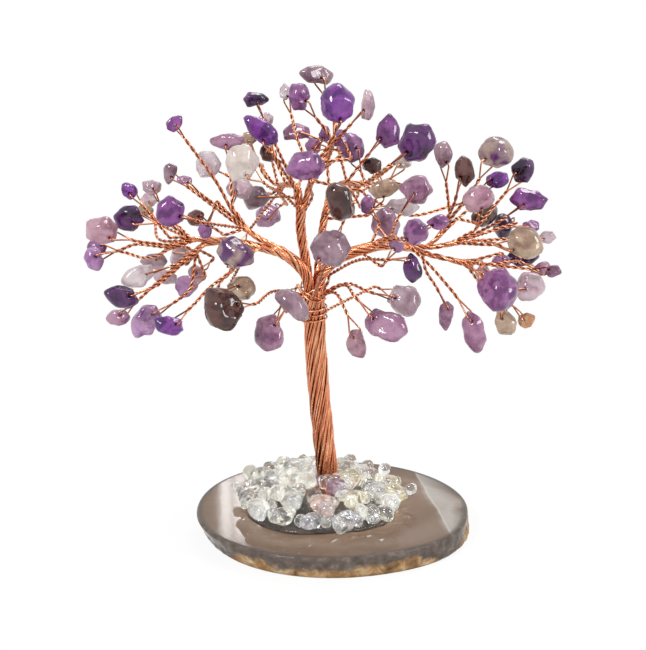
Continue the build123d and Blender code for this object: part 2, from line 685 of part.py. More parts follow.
def thread_chips():
    """Each chip takes the free place nearest to its own along the line of sight, front chips first."""
    jobs = []
    for name in heads:
        for index, (label, row) in enumerate(twig_rows(name)):
            jobs.append((label is None, row[5], name, index, label, row))
    jobs.sort(key=lambda job: job[:2])
    placed = []
    for number, (_, _, name, index, label, row) in enumerate(jobs):
        along, twig_seats = heads[name]
        seat = twig_seats[index]
        beside = Room()
        leads = [other for other in twig_seats if other is not seat]
        if leads:
            rise = along * TWIG_RADIUS, along * TWIG_LEAD
            reach = TWIG_RADIUS + WIRE_CLEARANCE / 2
            beside.add([(other + rise[0], other + rise[1], reach) for other in leads])
        best = None
        toward = spot_at_share((row[0], row[1], row[5])) - seat
        for shift, bow, slide in trials(toward):
            place = tuple(row[axis] + slide[axis] * SLIDE_PIXELS for axis in (0, 1)) + row[2:]
            trial = Chip(seat, along, place, number, shift, bow, label is not None)
            bars = trial.bars()
            gap = min(room.gap(bars), beside.gap(bars))
            if best is None or gap > best[0] + TIE:
                best = (gap, trial)
            if gap >= 0:
                break
        gap, chip = best
        if gap < 0:
            print("crowded", name, index, row[:2], round(gap, 2))
        room.add(chip.bars())
        placed.append((name, index, label, chip))
    return placed


# Foot
def agate_slice():
    """A slice of stone with an uneven rim, drawn in towards its underside, its edges broken."""
    wires = []
    bottom, top = 2, 1
    levels = [
        (bottom, SLICE_CHAMFER, 0), (bottom, 0, SLICE_CHAMFER),
        (top, 0, SLICE_THICKNESS - SLICE_CHAMFER), (top, SLICE_CHAMFER, SLICE_THICKNESS),
    ]
    for column, inset, height in levels:
        points = []
        for row in RIM_SHARES:
            angle = math.radians(row[0])
            x = (SLICE_WIDTH / 2 - inset) * row[column] * math.cos(angle)
            points.append((x, (SLICE_DEPTH / 2 - inset) * row[column] * math.sin(angle), height))
        wires.append(Wire([Spline(*points, periodic=True)]))
    return Solid.make_loft(wires, ruled=True)


def root_paths():
    """The wires' ends: one bundle straight down, the others bent out flat along the slice."""
    radius = bundle_radius(chips_served("trunk")) / 3 * ROOT_PACKING_SHARE
    low = SLICE_THICKNESS + radius + GLUE_FILM
    paths = [[foot, np.array([foot[0], foot[1], SLICE_THICKNESS])]]
    for index in range(ROOT_COUNT):
        angle = 2 * math.pi / ROOT_COUNT * (index + 1 / 2)
        out = np.array([math.cos(angle), math.sin(angle), 0])
        seat = foot + out * 2 * radius
        elbow = np.array([seat[0], seat[1], low + (foot[2] - low) * ROOT_BEND_SHARE])
        flat = seat + out * radius * ROOT_STEP_SHARE
        end = flat + out * ROOT_LENGTH * (1 - ROOT_UNEVEN_SHARE * (index % 2) * 2)
        paths.append([seat, elbow, np.array([*flat[:2], low]), np.array([*end[:2], low])])
    return paths, radius * ROOT_THINNER_SHARE


def mound_reach(angle):
    """The glue's uneven outline, as a share of its radius."""
    return 1 + sum(share * math.sin(lobes * angle + lobes) for lobes, share in MOUND_LOBES_SHARES)


def mound_height(place):
    """Height of the glue's surface over the slice at a place."""
    across = place - pile
    reach = GLUE_DIAMETER / 2 * mound_reach(math.atan2(across[1], across[0]))
    share = math.hypot(*across[:2]) / reach
    shares, heights = zip(*MOUND_SHARES[::-1])
    return GLUE_HEIGHT * float(np.interp(share, shares, heights))


def glue_mound(paths, radius):
    rings = []
    for share, height in MOUND_SHARES:
        ring = []
        for index in range(MOUND_SIDES):
            angle = 2 * math.pi * index / MOUND_SIDES
            reach = GLUE_DIAMETER / 2 * share * mound_reach(angle)
            rise = GLUE_HEIGHT * height
            ring.append(pile + np.array([reach * math.cos(angle), reach * math.sin(angle), rise]))
        rings.append(ring)
    mound = skinned(rings)
    upward = np.array([0, 0, 1])
    shaft = (bundle_radius(chips_served("trunk")) + TRUNK_FILM) / math.cos(math.pi / SHAFT_SIDES)
    cuts = [tube([foot - upward * GLUE_FILM, foot + upward * 2 * GLUE_HEIGHT], shaft, SHAFT_SIDES)]
    for path in paths:
        run = unit(path[-1] - path[-2])
        longer = [path[0] + upward * GLUE_FILM, *path[1:-1], path[-1] + run * ROOT_FILM]
        cuts.append(tube(longer, radius + ROOT_FILM, ROOT_SIDES))
    for cut in cuts:
        mound = mound - cut
    return Solid(mound.solids().sort_by(SortBy.VOLUME)[-1].wrapped)


def quartz_trials():
    """Small turns and pushes of a stone in its ring, the least first."""
    steps = range(-QUARTZ_TRIES, QUARTZ_TRIES + 1)
    pairs = [(step, push) for step in steps for push in steps]
    return sorted(pairs, key=lambda pair: abs(pair[0]) + abs(pair[1]))


def quartz_ring(name, number):
    """One ring of clear chips lying on the glue, each shifted until it is free."""
    share, count, size = QUARTZ_RING_SHARES[name]
    middle = pile * share + np.array([*foot[:2], SLICE_THICKNESS]) * (1 - share)
    solids = []
    for index in range(count):
        kind = number * 3 + index
        a = QUARTZ_LENGTH / 2 * size * (1 - QUARTZ_SMALLER_SHARES[kind % len(QUARTZ_SMALLER_SHARES)])
        b = a * QUARTZ_BREADTH_SHARES[kind % len(QUARTZ_BREADTH_SHARES)]
        c = b * THICKNESS_SHARES[kind % len(THICKNESS_SHARES)] * QUARTZ_THICKNESS_SHARE
        halves = (a, b, c)
        best = None
        for step, push in quartz_trials():
            angle = 2 * math.pi * (index + number % 2 / 2 + QUARTZ_TURN_SHARE * step) / count
            reach = GLUE_DIAMETER / 2 * share * (1 + QUARTZ_PUSH_SHARE * push)
            out = np.array([math.cos(angle), math.sin(angle), 0])
            tilt = math.radians(QUARTZ_TILT_DEGREES[kind % len(QUARTZ_TILT_DEGREES)])
            normal = unit(np.array([0, 0, math.cos(tilt)]) + out * math.sin(tilt))
            twist = math.radians(QUARTZ_TWIST_DEGREES[kind % len(QUARTZ_TWIST_DEGREES)])
            first, second = cross_axes(normal, np.array([math.cos(twist), math.sin(twist), 0]))
            centre = middle + out * reach
            rings = pebble_rings(centre, (first, second, normal), halves, kind)
            corners = [corner for ring in rings for corner in ring]
            sunk = max(SLICE_THICKNESS + mound_height(corner) - corner[2] for corner in corners)
            lift = sunk + SEAT_FILM
            centre = centre + np.array([0, 0, lift])
            bars = pebble_bars(centre, (first, second, normal), halves, QUARTZ_CLEARANCE / 2)
            gap = room.gap(bars)
            if best is None or gap > best[0] + TIE:
                best = (gap, centre, (first, second, normal), bars)
            if gap >= 0:
                break
        if best[0] < 0:
            print("crowded", name, index, round(best[0], 2))
        room.add(best[3])
        solids.append(skinned(pebble_rings(best[1], best[2], halves, kind)))
    return solids


def binding():
    """The wire wound round the trunk's head, as one unbroken tube."""
    middle = spot_at_share(BINDING_PIXELS)
    along = unit(spot_at_share(TRUNK_PIXELS[-2]) - spot_at_share(TRUNK_PIXELS[-3]))
    first, second = cross_axes(along)
    radius = bundle_radius(chips_served("trunk")) + BINDING_DIAMETER / 2 + BINDING_CLEARANCE
    places, headings = [], []
    for quarter in range(4 * BINDING_TURNS + 1):
        angle = math.pi / 2 * quarter
        out = math.cos(angle) * first + math.sin(angle) * second
        onward = math.cos(angle) * second - math.sin(angle) * first
        rise = along * BINDING_PITCH * (quarter / 4 - BINDING_TURNS / 2)
        places.append(middle + out * radius + rise)
        headings.append(unit(onward * 2 * math.pi * radius + along * BINDING_PITCH))
    start = places[0] - headings[0] * BINDING_DIAMETER
    finish = places[-1] + headings[-1] * BINDING_DIAMETER
    edges = [Edge.make_line(Vector(*start), Vector(*places[0]))]
    for a, b, ta, tb in zip(places, places[1:], headings, headings[1:]):
        chord, pair = b - a, ta + tb
        # Both handles of a biarc are as long as the span between them is wide
        p, q, r = pair @ pair - 4, -2 * chord @ pair, chord @ chord
        handle = (-q - math.sqrt(q * q - 4 * p * r)) / (2 * p)
        leave, arrive = a + ta * handle, b - tb * handle
        joint = (leave + arrive) / 2
        edges.append(Edge.make_tangent_arc(Vector(*a), Vector(*ta), Vector(*joint)))
        edges.append(Edge.make_tangent_arc(Vector(*joint), Vector(*unit(arrive - leave)), Vector(*b)))
    edges.append(Edge.make_line(Vector(*places[-1]), Vector(*finish)))
    path = Wire(edges)
    samples = np.array([tuple(path @ (index / BINDING_SAMPLES)) for index in range(BINDING_SAMPLES + 1)])
    apart = int(2 * BINDING_DIAMETER * BINDING_SAMPLES / path.length) + 1
    pairs = zip(samples, [samples[index + apart:] for index in range(BINDING_SAMPLES - apart)])
    least = min(np.linalg.norm(others - place, axis=1).min() for place, others in pairs)
    gap = least - BINDING_DIAMETER
    print("binding length", round(path.length, 1), "least gap to itself", round(float(gap), 2))
    across = Plane(origin=Vector(*start), z_dir=Vector(*headings[0]))
    section = across * RegularPolygon(BINDING_DIAMETER / 2, BINDING_SIDES)
    return sweep(section, path=path).solids()[0]


def save(name, solids):
    shape = solids[0] if len(solids) == 1 else Compound(children=solids)
    export_step(shape, "parts/" + name + ".step")


pile = floor_spot(PILE_PIXELS, SLICE_THICKNESS)
placed = thread_chips()
roots, root_radius = root_paths()
save("agate_slice", [agate_slice()])
save("glue_bed", [glue_mound(roots, root_radius)])
save("root_wires", [tube(path, root_radius, 6) for path in roots])
save("trunk_binding", [binding()])
for number, name in enumerate(QUARTZ_RING_SHARES):
    save(name, quartz_ring(name, number))
for name, solid in ropes.items():
    save("trunk_wires" if name == "trunk" else name, [solid])
for name in heads:
    mine = [entry for entry in placed if entry[0] == name]
    mine.sort(key=lambda entry: entry[1])
    title = name.replace("_branch", "").replace("_limb", "_inner").replace("trunk", "collar")
    save(title + "_twigs", [chip.twig() for _, _, _, chip in mine] + [chip.loop() for _, _, _, chip in mine])
    fixed = [chip.solid() for _, _, label, chip in mine if label is None]
    if fixed:
        save(title + "_chips", fixed)
    for _, _, label, chip in mine:
        if label:
            save(label, [chip.solid()])
            print(label, "pivot", chip.hole.round(3), "axis", chip.normal.round(4))
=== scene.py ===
import json
import math
import random

import bmesh
import bpy
import numpy as np
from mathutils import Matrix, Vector, noise

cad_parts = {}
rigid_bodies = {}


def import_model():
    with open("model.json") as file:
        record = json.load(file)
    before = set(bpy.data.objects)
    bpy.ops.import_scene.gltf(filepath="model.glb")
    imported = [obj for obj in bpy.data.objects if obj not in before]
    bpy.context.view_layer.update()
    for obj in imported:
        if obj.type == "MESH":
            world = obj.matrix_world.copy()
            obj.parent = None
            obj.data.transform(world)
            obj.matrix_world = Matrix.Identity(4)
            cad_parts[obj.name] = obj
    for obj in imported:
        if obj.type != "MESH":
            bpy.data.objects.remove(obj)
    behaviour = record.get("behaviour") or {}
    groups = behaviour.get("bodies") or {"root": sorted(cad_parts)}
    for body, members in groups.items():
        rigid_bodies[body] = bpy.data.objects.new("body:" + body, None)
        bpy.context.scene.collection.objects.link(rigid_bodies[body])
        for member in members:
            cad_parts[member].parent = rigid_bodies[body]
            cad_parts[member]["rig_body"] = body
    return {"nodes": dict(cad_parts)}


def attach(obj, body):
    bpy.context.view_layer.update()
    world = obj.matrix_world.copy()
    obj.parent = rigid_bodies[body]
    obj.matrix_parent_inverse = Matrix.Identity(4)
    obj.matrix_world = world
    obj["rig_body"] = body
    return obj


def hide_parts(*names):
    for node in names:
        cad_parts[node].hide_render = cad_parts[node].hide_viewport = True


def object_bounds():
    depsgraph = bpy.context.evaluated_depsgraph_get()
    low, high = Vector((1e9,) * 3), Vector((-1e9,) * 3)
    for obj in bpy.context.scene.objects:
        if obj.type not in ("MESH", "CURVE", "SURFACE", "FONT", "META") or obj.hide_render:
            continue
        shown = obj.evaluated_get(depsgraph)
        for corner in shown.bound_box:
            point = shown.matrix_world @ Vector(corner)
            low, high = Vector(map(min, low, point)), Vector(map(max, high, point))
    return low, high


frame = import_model()
low_before, high_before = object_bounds()
chance = random.Random(11)

# Driving sizes, in metres
MM = 0.001
STRAND_RADIUS = 0.235 * MM
LOOP_RADIUS = 0.215 * MM
HOLE_RADIUS = 0.46 * MM
TWIST_PITCH = 3.7 * MM
BUNDLE_STRAND_RADIUS = 0.27 * MM
TRUNK_PITCH = 60 * MM
LIMB_LEAN = math.radians(27)
BINDING_RADIUS = 0.24 * MM
ROOT_PITCH = 18 * MM
SLICE_CHAMFER = 0.7 * MM
TOP_INSETS = [inset * MM for inset in (16, 12, 9, 6.5, 4.5, 3, 2, 1.2, 0.5)]
ROUGH_DEPTH = 0.55 * MM
LUMP_HEIGHT = 0.9 * MM
QUARTZ_LUMP_HEIGHT = 0.35 * MM

# Counts
BINDING_TURNS = 3
CROTCH_TURNS = 3
ROOT_STRANDS = 6
RIM_STEPS = 360
MOUND_STEPS = 96
STONE_STEPS = 36
STONE_ROWS = 22
THIN_WIRE_SIDES = 7
WIRE_SIDES = 8
CORE_SIDES = 10
LUMPS_PER_METRE = 190

# How far a rounded stone is blown up to fill its solid, and how much a drilled one narrows
FULLNESS = 1.13
HUNG_FULLNESS = 1.06
QUARTZ_FULLNESS = 1.25
TAPER = 0.26

# How sharp the edges of stones are
SHARPNESS = 9
DRILLED_SHARPNESSES = (9, 12, 16, 26)

# The way between a line's places, and within how little corners are one and a plane holds
STEP = 0.3 * MM
WELD = 0.0005 * MM
FLAT = 0.02 * MM

GLUE_SHRINK = 0.86
TURN_BACK = 0.35
RANDOM_PHASE = 6.3

# The camera, fitted to the photograph: picture sizes are in its pixels
PICTURE_PIXELS = (646, 650)
FOCAL_PIXELS = 1751
SENSOR_WIDTH = 36
EYE = Vector((-0.00275, -0.4298, 0.1844))
EYE_PITCH = math.radians(16.64)

# Stone tones by name: deep colour, pale colour, share of clear stone, size of its clouds
TONES = {
    "violet": ((0.095, 0.012, 0.115), (0.35, 0.10, 0.38), 0.4, 1.0),
    "vivid": ((0.070, 0.006, 0.125), (0.31, 0.07, 0.42), 0.4, 0.9),
    "purple": ((0.140, 0.034, 0.140), (0.40, 0.17, 0.38), 0.35, 1.1),
    "lavender": ((0.29, 0.12, 0.31), (0.58, 0.36, 0.56), 0.4, 1.2),
    "mauve": ((0.24, 0.095, 0.185), (0.48, 0.27, 0.39), 0.3, 1.2),
    "dusty": ((0.18, 0.095, 0.135), (0.36, 0.24, 0.28), 0.25, 1.3),
    "rose": ((0.32, 0.14, 0.20), (0.56, 0.35, 0.41), 0.3, 1.1),
    "pale": ((0.42, 0.28, 0.34), (0.71, 0.57, 0.61), 0.4, 1.2),
    "milky": ((0.49, 0.40, 0.36), (0.75, 0.67, 0.62), 0.25, 1.2),
    "clear": ((0.52, 0.42, 0.46), (0.84, 0.76, 0.78), 0.6, 1.0),
    "beige": ((0.30, 0.19, 0.13), (0.56, 0.43, 0.31), 0.3, 1.1),
    "peach": ((0.52, 0.23, 0.11), (0.76, 0.47, 0.28), 0.3, 1.0),
    "brown": ((0.090, 0.026, 0.022), (0.22, 0.095, 0.080), 0.15, 1.0),
    "smoky": ((0.036, 0.011, 0.009), (0.095, 0.038, 0.030), 0.05, 1.0),
    "dark": ((0.026, 0.004, 0.036), (0.115, 0.026, 0.145), 0.15, 0.9),
    "split": ((0.085, 0.013, 0.100), (0.52, 0.40, 0.30), 0.3, 1.7),
}

# Which tone each stone has, by the pixel where the photograph shows it
TONE_PIXELS = [
    (173, 123, "violet"), (169, 173, "dusty"), (184, 178, "mauve"), (128, 188, "vivid"), (153, 186, "pale"),
    (149, 196, "pale"), (168, 211, "violet"), (125, 217, "dark"), (143, 206, "beige"), (102, 232, "rose"),
    (97, 248, "purple"), (92, 260, "lavender"), (194, 217, "brown"), (205, 230, "purple"),
    (206, 165, "clear"),
    (316, 73, "dusty"), (299, 97, "purple"), (285, 92, "clear"), (255, 99, "dark"), (262, 130, "vivid"),
    (266, 117, "pale"), (228, 141, "mauve"), (248, 138, "beige"), (266, 153, "smoky"), (240, 161, "milky"),
    (238, 188, "pale"), (255, 198, "dusty"), (308, 166, "purple"), (297, 133, "mauve"), (315, 146, "purple"),
    (325, 134, "purple"), (339, 105, "vivid"), (340, 136, "purple"), (368, 105, "pale"), (387, 132, "violet"),
    (417, 143, "dark"), (351, 152, "purple"), (372, 165, "smoky"), (385, 188, "beige"), (417, 187, "mauve"),
    (405, 163, "milky"), (340, 203, "smoky"), (366, 201, "purple"), (400, 206, "clear"), (443, 155, "dusty"),
    (464, 168, "brown"), (495, 152, "split"), (497, 178, "vivid"), (525, 170, "dark"), (531, 199, "violet"),
    (480, 197, "rose"), (484, 214, "smoky"), (502, 223, "dark"), (531, 227, "purple"), (524, 245, "beige"),
    (547, 238, "pale"), (525, 254, "dark"), (502, 262, "lavender"), (498, 288, "purple"), (482, 272, "mauve"),
    (530, 288, "pale"), (540, 269, "mauve"), (553, 273, "mauve"), (504, 322, "beige"), (525, 321, "peach"),
    (473, 330, "mauve"), (447, 315, "mauve"), (137, 278, "clear"), (155, 262, "pale"), (165, 277, "pale"),
    (120, 298, "dark"), (147, 320, "lavender"), (119, 318, "mauve"), (171, 326, "vivid"),
    (186, 287, "lavender"),
    (197, 275, "rose"), (178, 255, "pale"), (236, 253, "split"), (243, 289, "beige"), (221, 311, "smoky"),
    (238, 307, "pale"), (293, 305, "dusty"), (269, 336, "mauve"), (333, 247, "dusty"), (412, 267, "dark"),
    (405, 302, "pale"), (384, 326, "mauve"), (357, 344, "rose"), (417, 233, "purple"), (437, 222, "purple"),
    (398, 246, "lavender"), (385, 227, "mauve"),
]
HIDDEN_TONES = ("violet", "lavender", "purple", "mauve", "pale")
TONE_REACH_PIXELS = 16
QUARTZ_REACH_PIXELS = 13

# Where the slice's top mirrors a window
WINDOW_PIXEL = (240, 505)

# The pale band across the slice's top, from back to front
PALE_BAND_PIXELS = ((415, 470), (450, 535))

# Quartz tones, and which stones of the pile have them
QUARTZ_TONES = {
    "clear": ((0.87, 0.87, 0.83), (0.97, 0.97, 0.93), 1.0, 1.0),
    "white": ((0.82, 0.81, 0.75), (0.95, 0.95, 0.90), 0.8, 1.0),
    "grey": ((0.66, 0.67, 0.70), (0.86, 0.86, 0.87), 0.95, 1.0),
    "blush": ((0.78, 0.58, 0.52), (0.94, 0.84, 0.79), 0.85, 1.0),
    "yellow": ((0.80, 0.72, 0.50), (0.95, 0.91, 0.78), 0.9, 1.0),
    "smoke": ((0.26, 0.15, 0.22), (0.55, 0.42, 0.50), 0.8, 1.0),
}
QUARTZ_PIXELS = [
    (328, 487, "smoke"), (318, 500, "blush"), (310, 525, "grey"), (330, 518, "grey"), (355, 513, "grey"),
    (312, 485, "blush"), (395, 488, "yellow"), (350, 490, "yellow"), (310, 460, "white"), (350, 465, "white"),
    (405, 508, "white"), (283, 525, "clear"), (333, 530, "clear"), (382, 517, "clear"), (272, 485, "clear"),
    (235, 495, "clear"), (300, 480, "white"), (375, 478, "clear"),
]
PLAIN_QUARTZ = ("clear", "white", "clear", "grey")

# Lamps: name, place, size and power in watts. The window's panes are narrow lamps side by side
LAMPS = (
    ("key", (-0.55, -0.7, 0.75), (0.3, 0.3), 9.5),
    ("fill", (0.8, -0.35, 0.45), (0.35, 0.35), 4.5),
    ("back", (0.3, 0.6, 1.1), (0.6, 0.4), 6.5),
)
LAMP_AIM = Vector((0, 0, 0.07))
PANE_SIZE = (0.0095, 0.066)
PANE_SPACING = 0.0125
PANE_POWER = 0.022
FLOOR_REACH = 3.0


# Reading the frame's solids
def joined_groups(count, links):
    """Numbers that links join, as lists."""
    leader = list(range(count))

    def find(item):
        while leader[item] != item:
            leader[item] = leader[leader[item]]
            item = leader[item]
        return item

    for a, b in links:
        leader[find(a)] = find(b)
    found = {}
    for item in range(count):
        found.setdefault(find(item), []).append(item)
    return list(found.values())


class Solid:
    """One closed solid of a CAD node: its corners, and its faces as sets of their numbers."""

    def __init__(self, places, faces):
        self.places = places
        self.faces = faces
        self.corners = places[sorted(set().union(*faces))]
        self.centre = (self.corners.min(0) + self.corners.max(0)) / 2

    def rings(self):
        """A tube's or rope's rings of corners, from one end to the other."""
        most = max(len(face) for face in self.faces)
        if most > 4:
            cap = next(face for face in self.faces if len(face) == most)
        else:
            cap = min(self.faces, key=lambda face: np.ptp(self.places[list(face)], axis=0).sum())
        rings, seen = [cap], set(cap)
        while True:
            touched = set().union(*[face for face in self.faces if face & rings[-1]]) - seen
            if not touched:
                return [self.places[sorted(ring)] for ring in rings]
            rings.append(touched)
            seen |= touched

    def planes(self):
        """Its hull's outward planes that hold every corner: directions and distances from the origin."""
        hull = bmesh.new()
        for corner in self.corners:
            hull.verts.new(corner)
        bmesh.ops.convex_hull(hull, input=hull.verts)
        directions, reaches = [], []
        for face in hull.faces:
            normal = np.array(face.normal)
            reach = normal @ np.array(face.verts[0].co)
            if normal @ self.centre > reach:
                normal, reach = -normal, -reach
            if (self.corners @ normal).max() < reach + FLAT:
                directions.append(normal)
                reaches.append(reach)
        hull.free()
        return np.array(directions), np.array(reaches)


def solids_of(node):
    """The closed solids of a CAD node, told apart by the corners that their faces share."""
    mesh = frame["nodes"][node].data
    flat = np.empty(len(mesh.vertices) * 3)
    mesh.vertices.foreach_get("co", flat)
    places, number = np.unique(np.round(flat.reshape(-1, 3) / WELD), axis=0, return_inverse=True)
    places = places * WELD
    number = number.ravel()
    triangles = [tuple(polygon.vertices) for polygon in mesh.polygons]
    links = [(t[0], other) for t in triangles for other in t[1:]]
    faces = [set(int(number[v]) for v in group) for group in joined_groups(len(mesh.vertices), links)]
    ties = [(first, other) for face in faces for first in [min(face)] for other in face]
    leader = {}
    for position, group in enumerate(joined_groups(len(places), ties)):
        for item in group:
            leader[item] = position
    solids = {}
    for face in faces:
        if len(face) > 2:
            solids.setdefault(leader[min(face)], []).append(face)
    return [Solid(places, found) for found in solids.values()]


# Smooth lines and tubes
def unit(vectors):
    """The vectors again, each of length one."""
    return vectors / np.maximum(np.linalg.norm(vectors, axis=-1, keepdims=True), 1e-12)


def rounded(corners, share=0.45, bend=8):
    """A path with each of its corners turned into a smooth bend."""
    corners = [np.array(corner, float) for corner in corners]
    out = [corners[0]]
    for before, here, after in zip(corners, corners[1:], corners[2:]):
        reach = share * min(np.linalg.norm(here - before), np.linalg.norm(after - here))
        start = here + unit(before - here) * reach
        end = here + unit(after - here) * reach
        for t in np.linspace(0, 1, bend):
            out.append(start * (1 - t) ** 2 + here * 2 * t * (1 - t) + end * t * t)
    out.append(corners[-1])
    return np.array(out)


def evenly(path, step):
    """The path again, with places about a step apart, and how far along it each one is."""
    runs = np.linalg.norm(np.diff(path, axis=0), axis=1)
    way = np.concatenate([[0], np.cumsum(runs)])
    count = max(4, int(way[-1] / step) + 1)
    wanted = np.linspace(0, way[-1], count)
    return np.stack([np.interp(wanted, way, path[:, axis]) for axis in range(3)], axis=1), wanted


class Line:
    """A smooth centre line with directions square to it that don't spin."""

    def __init__(self, path, step=STEP):
        self.places, self.way = evenly(path, step)
        self.along = unit(np.gradient(self.places, axis=0))
        start = np.array([1.0, 0, 0]) if abs(self.along[0][0]) < 0.8 else np.array([0, 0, 1.0])
        side = unit(start - (start @ self.along[0]) * self.along[0])
        sides = [side]
        for along in self.along[1:]:
            side = unit(side - (side @ along) * along)
            sides.append(side)
        self.first = np.array(sides)
        self.second = np.cross(self.along, self.first)

    def off(self, angles, reach):
        """Places at angles and distances round the line."""
        out = np.cos(angles)[:, None] * self.first + np.sin(angles)[:, None] * self.second
        return self.places + out * np.reshape(reach, (-1, 1)), out


class Shape:
    """A mesh in the making: corners, faces, materials, and each corner's stone number and how far it faces
    inwards, which weights the copper's painted shade.
    """

    def __init__(self):
        self.places, self.faces, self.kinds, self.marks, self.shade_weights = [], [], [], [], []
        self.count = 0

    def add(self, places, faces, kind=0, mark=0.0, shade_weights=None):
        self.places.append(places)
        self.shade_weights += list(shade_weights) if shade_weights is not None else [0.0] * len(places)
        self.faces += [tuple(int(corner) + self.count for corner in face) for face in faces]
        self.kinds += [kind] * len(faces)
        self.marks += [mark] * len(places)
        self.count += len(places)

    def tube(self, places, radius, out, sides, mark=0.0):
        """A round wire along places; out gives one direction across it at each place."""
        along = unit(np.gradient(places, axis=0))
        across = unit(np.cross(along, out))
        out = np.cross(across, along)
        turns = np.arange(sides) * 2 * math.pi / sides
        radius = np.broadcast_to(np.reshape(radius, (-1, 1, 1)), (len(places), 1, 1))
        wheel = np.cos(turns)[None, :, None] * out[:, None] + np.sin(turns)[None, :, None] * across[:, None]
        rings = places[:, None] + wheel * radius
        first_tip = places[0] - along[0] * radius[0, 0, 0] * 0.5
        last_tip = places[-1] + along[-1] * radius[-1, 0, 0] * 0.5
        faces = []
        for ring in range(len(places) - 1):
            for side in range(sides):
                here, there = ring * sides + side, ring * sides + (side + 1) % sides
                faces.append((here, there, there + sides, here + sides))
        last = (len(places) - 1) * sides
        top = len(places) * sides
        for side in range(sides):
            faces.append((top, (side + 1) % sides, side))
            faces.append((top + 1, last + side, last + (side + 1) % sides))
        # Painted shade weight: nought on the side that faces out, one on the side that faces away from it,
        # where the copper is painted dark
        shade_weights = np.concatenate([np.tile((1 - np.cos(turns)) / 2, len(places)), [0.5, 0.5]])
        self.add(np.vstack([rings.reshape(-1, 3), first_tip, last_tip]), faces, 0, mark, shade_weights)

    def piece(self, name, node, slot, materials):
        """The finished mesh, as the piece that shows in place of a CAD node."""
        mesh = bpy.data.meshes.new(name)
        mesh.from_pydata(np.vstack(self.places).tolist(), [], self.faces)
        outward = bmesh.new()
        outward.from_mesh(mesh)
        bmesh.ops.recalc_face_normals(outward, faces=outward.faces)
        outward.to_mesh(mesh)
        outward.free()
        for material in materials:
            mesh.materials.append(material)
        mesh.polygons.foreach_set("material_index", self.kinds)
        mesh.polygons.foreach_set("use_smooth", [True] * len(self.faces))
        mark = mesh.attributes.new("stone", "FLOAT", "POINT")
        mark.data.foreach_set("value", self.marks)
        # The weight of the copper's painted shade, one on each wire's inward side
        shade_weight = mesh.attributes.new("shade_weight", "FLOAT", "POINT")
        shade_weight.data.foreach_set("value", self.shade_weights)
        mesh.update()
        piece = bpy.data.objects.new(name, mesh)
        bpy.context.scene.collection.objects.link(piece)
        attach(piece, frame["nodes"][node]["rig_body"])
        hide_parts(node)


# Materials
class Paint:
    """A material's nodes, joined by short calls."""

    def __init__(self, name):
        self.material = bpy.data.materials.new(name)
        self.material.use_nodes = True
        self.tree = self.material.node_tree
        self.surface = self.tree.nodes["Principled BSDF"]

    def node(self, kind, settings=None, **links):
        made = self.tree.nodes.new(kind)
        for key, value in (settings or {}).items():
            setattr(made, key, value)
        for key, value in links.items():
            self.join(made.inputs[key.replace("_", " ")], value)
        return made

    def join(self, socket, value):
        if isinstance(value, bpy.types.NodeSocket):
            self.tree.links.new(socket, value)
        else:
            socket.default_value = value

    def set(self, **values):
        for key, value in values.items():
            self.join(self.surface.inputs[key.replace("_", " ")], value)

    def maths(self, operation, *values):
        made = self.tree.nodes.new("ShaderNodeMath")
        made.operation = operation
        for socket, value in zip(made.inputs, values):
            self.join(socket, value)
        return made.outputs[0]

    def noise(self, place, scale, detail=3.0, rough=0.55, distortion=0.0):
        made = self.node(
            "ShaderNodeTexNoise", Scale=scale, Detail=detail, Roughness=rough, Distortion=distortion
        )
        self.join(made.inputs["Vector"], place)
        return made.outputs["Fac"]

    def ramp(self, factor, stops):
        made = self.node("ShaderNodeValToRGB", Fac=factor)
        points = made.color_ramp.elements
        while len(points) < len(stops):
            points.new(0.5)
        for point, (share, colour) in zip(points, stops):
            point.position = share
            point.color = (*colour, 1)
        return made.outputs["Color"]

    def between(self, factor, low, high, to_low=0.0, to_high=1.0):
        made = self.node("ShaderNodeMapRange", {"clamp": True})
        names = ("Value", "From Min", "From Max", "To Min", "To Max")
        for name, value in zip(names, (factor, low, high, to_low, to_high)):
            self.join(made.inputs[name], value)
        return made.outputs["Result"]

    def mix(self, factor, a, b):
        made = self.tree.nodes.new("ShaderNodeMix")
        made.data_type = "RGBA"
        for name, value in (("Factor", factor), ("A", a), ("B", b)):
            if isinstance(value, tuple):
                value = (*value, 1)
            self.join(next(s for s in made.inputs if s.name == name and s.enabled), value)
        return next(s for s in made.outputs if s.enabled)

    def bump(self, height, strength, distance):
        made = self.node("ShaderNodeBump", Strength=strength, Distance=distance, Height=height)
        self.set(Normal=made.outputs["Normal"])

    def let_light_through(self, share):
        """Lamps shine on through the material, as through clear glass, so its shadow is light."""
        path = self.node("ShaderNodeLightPath")
        clear = self.node("ShaderNodeBsdfTransparent")
        factor = self.maths("MULTIPLY", path.outputs["Is Shadow Ray"], share)
        blend = self.node("ShaderNodeMixShader", Fac=factor)
        self.tree.links.new(blend.inputs[1], self.surface.outputs[0])
        self.tree.links.new(blend.inputs[2], clear.outputs[0])
        self.tree.links.new(self.tree.nodes["Material Output"].inputs["Surface"], blend.outputs[0])

    def place(self):
        """Object places, moved on by the stone's own number so that no two stones match."""
        spot = self.node("ShaderNodeTexCoord").outputs["Object"]
        number = self.node("ShaderNodeAttribute", {"attribute_name": "stone"}).outputs["Fac"]
        shift = self.node("ShaderNodeCombineXYZ", X=number, Y=number, Z=number).outputs[0]
        made = self.node("ShaderNodeVectorMath", {"operation": "ADD"})
        self.join(made.inputs[0], spot)
        self.join(made.inputs[1], shift)
        return made.outputs[0]


def mixed(a, b, share):
    """A colour that share of the way from a to b."""
    return tuple(x * (1 - share) + y * share for x, y in zip(a, b))


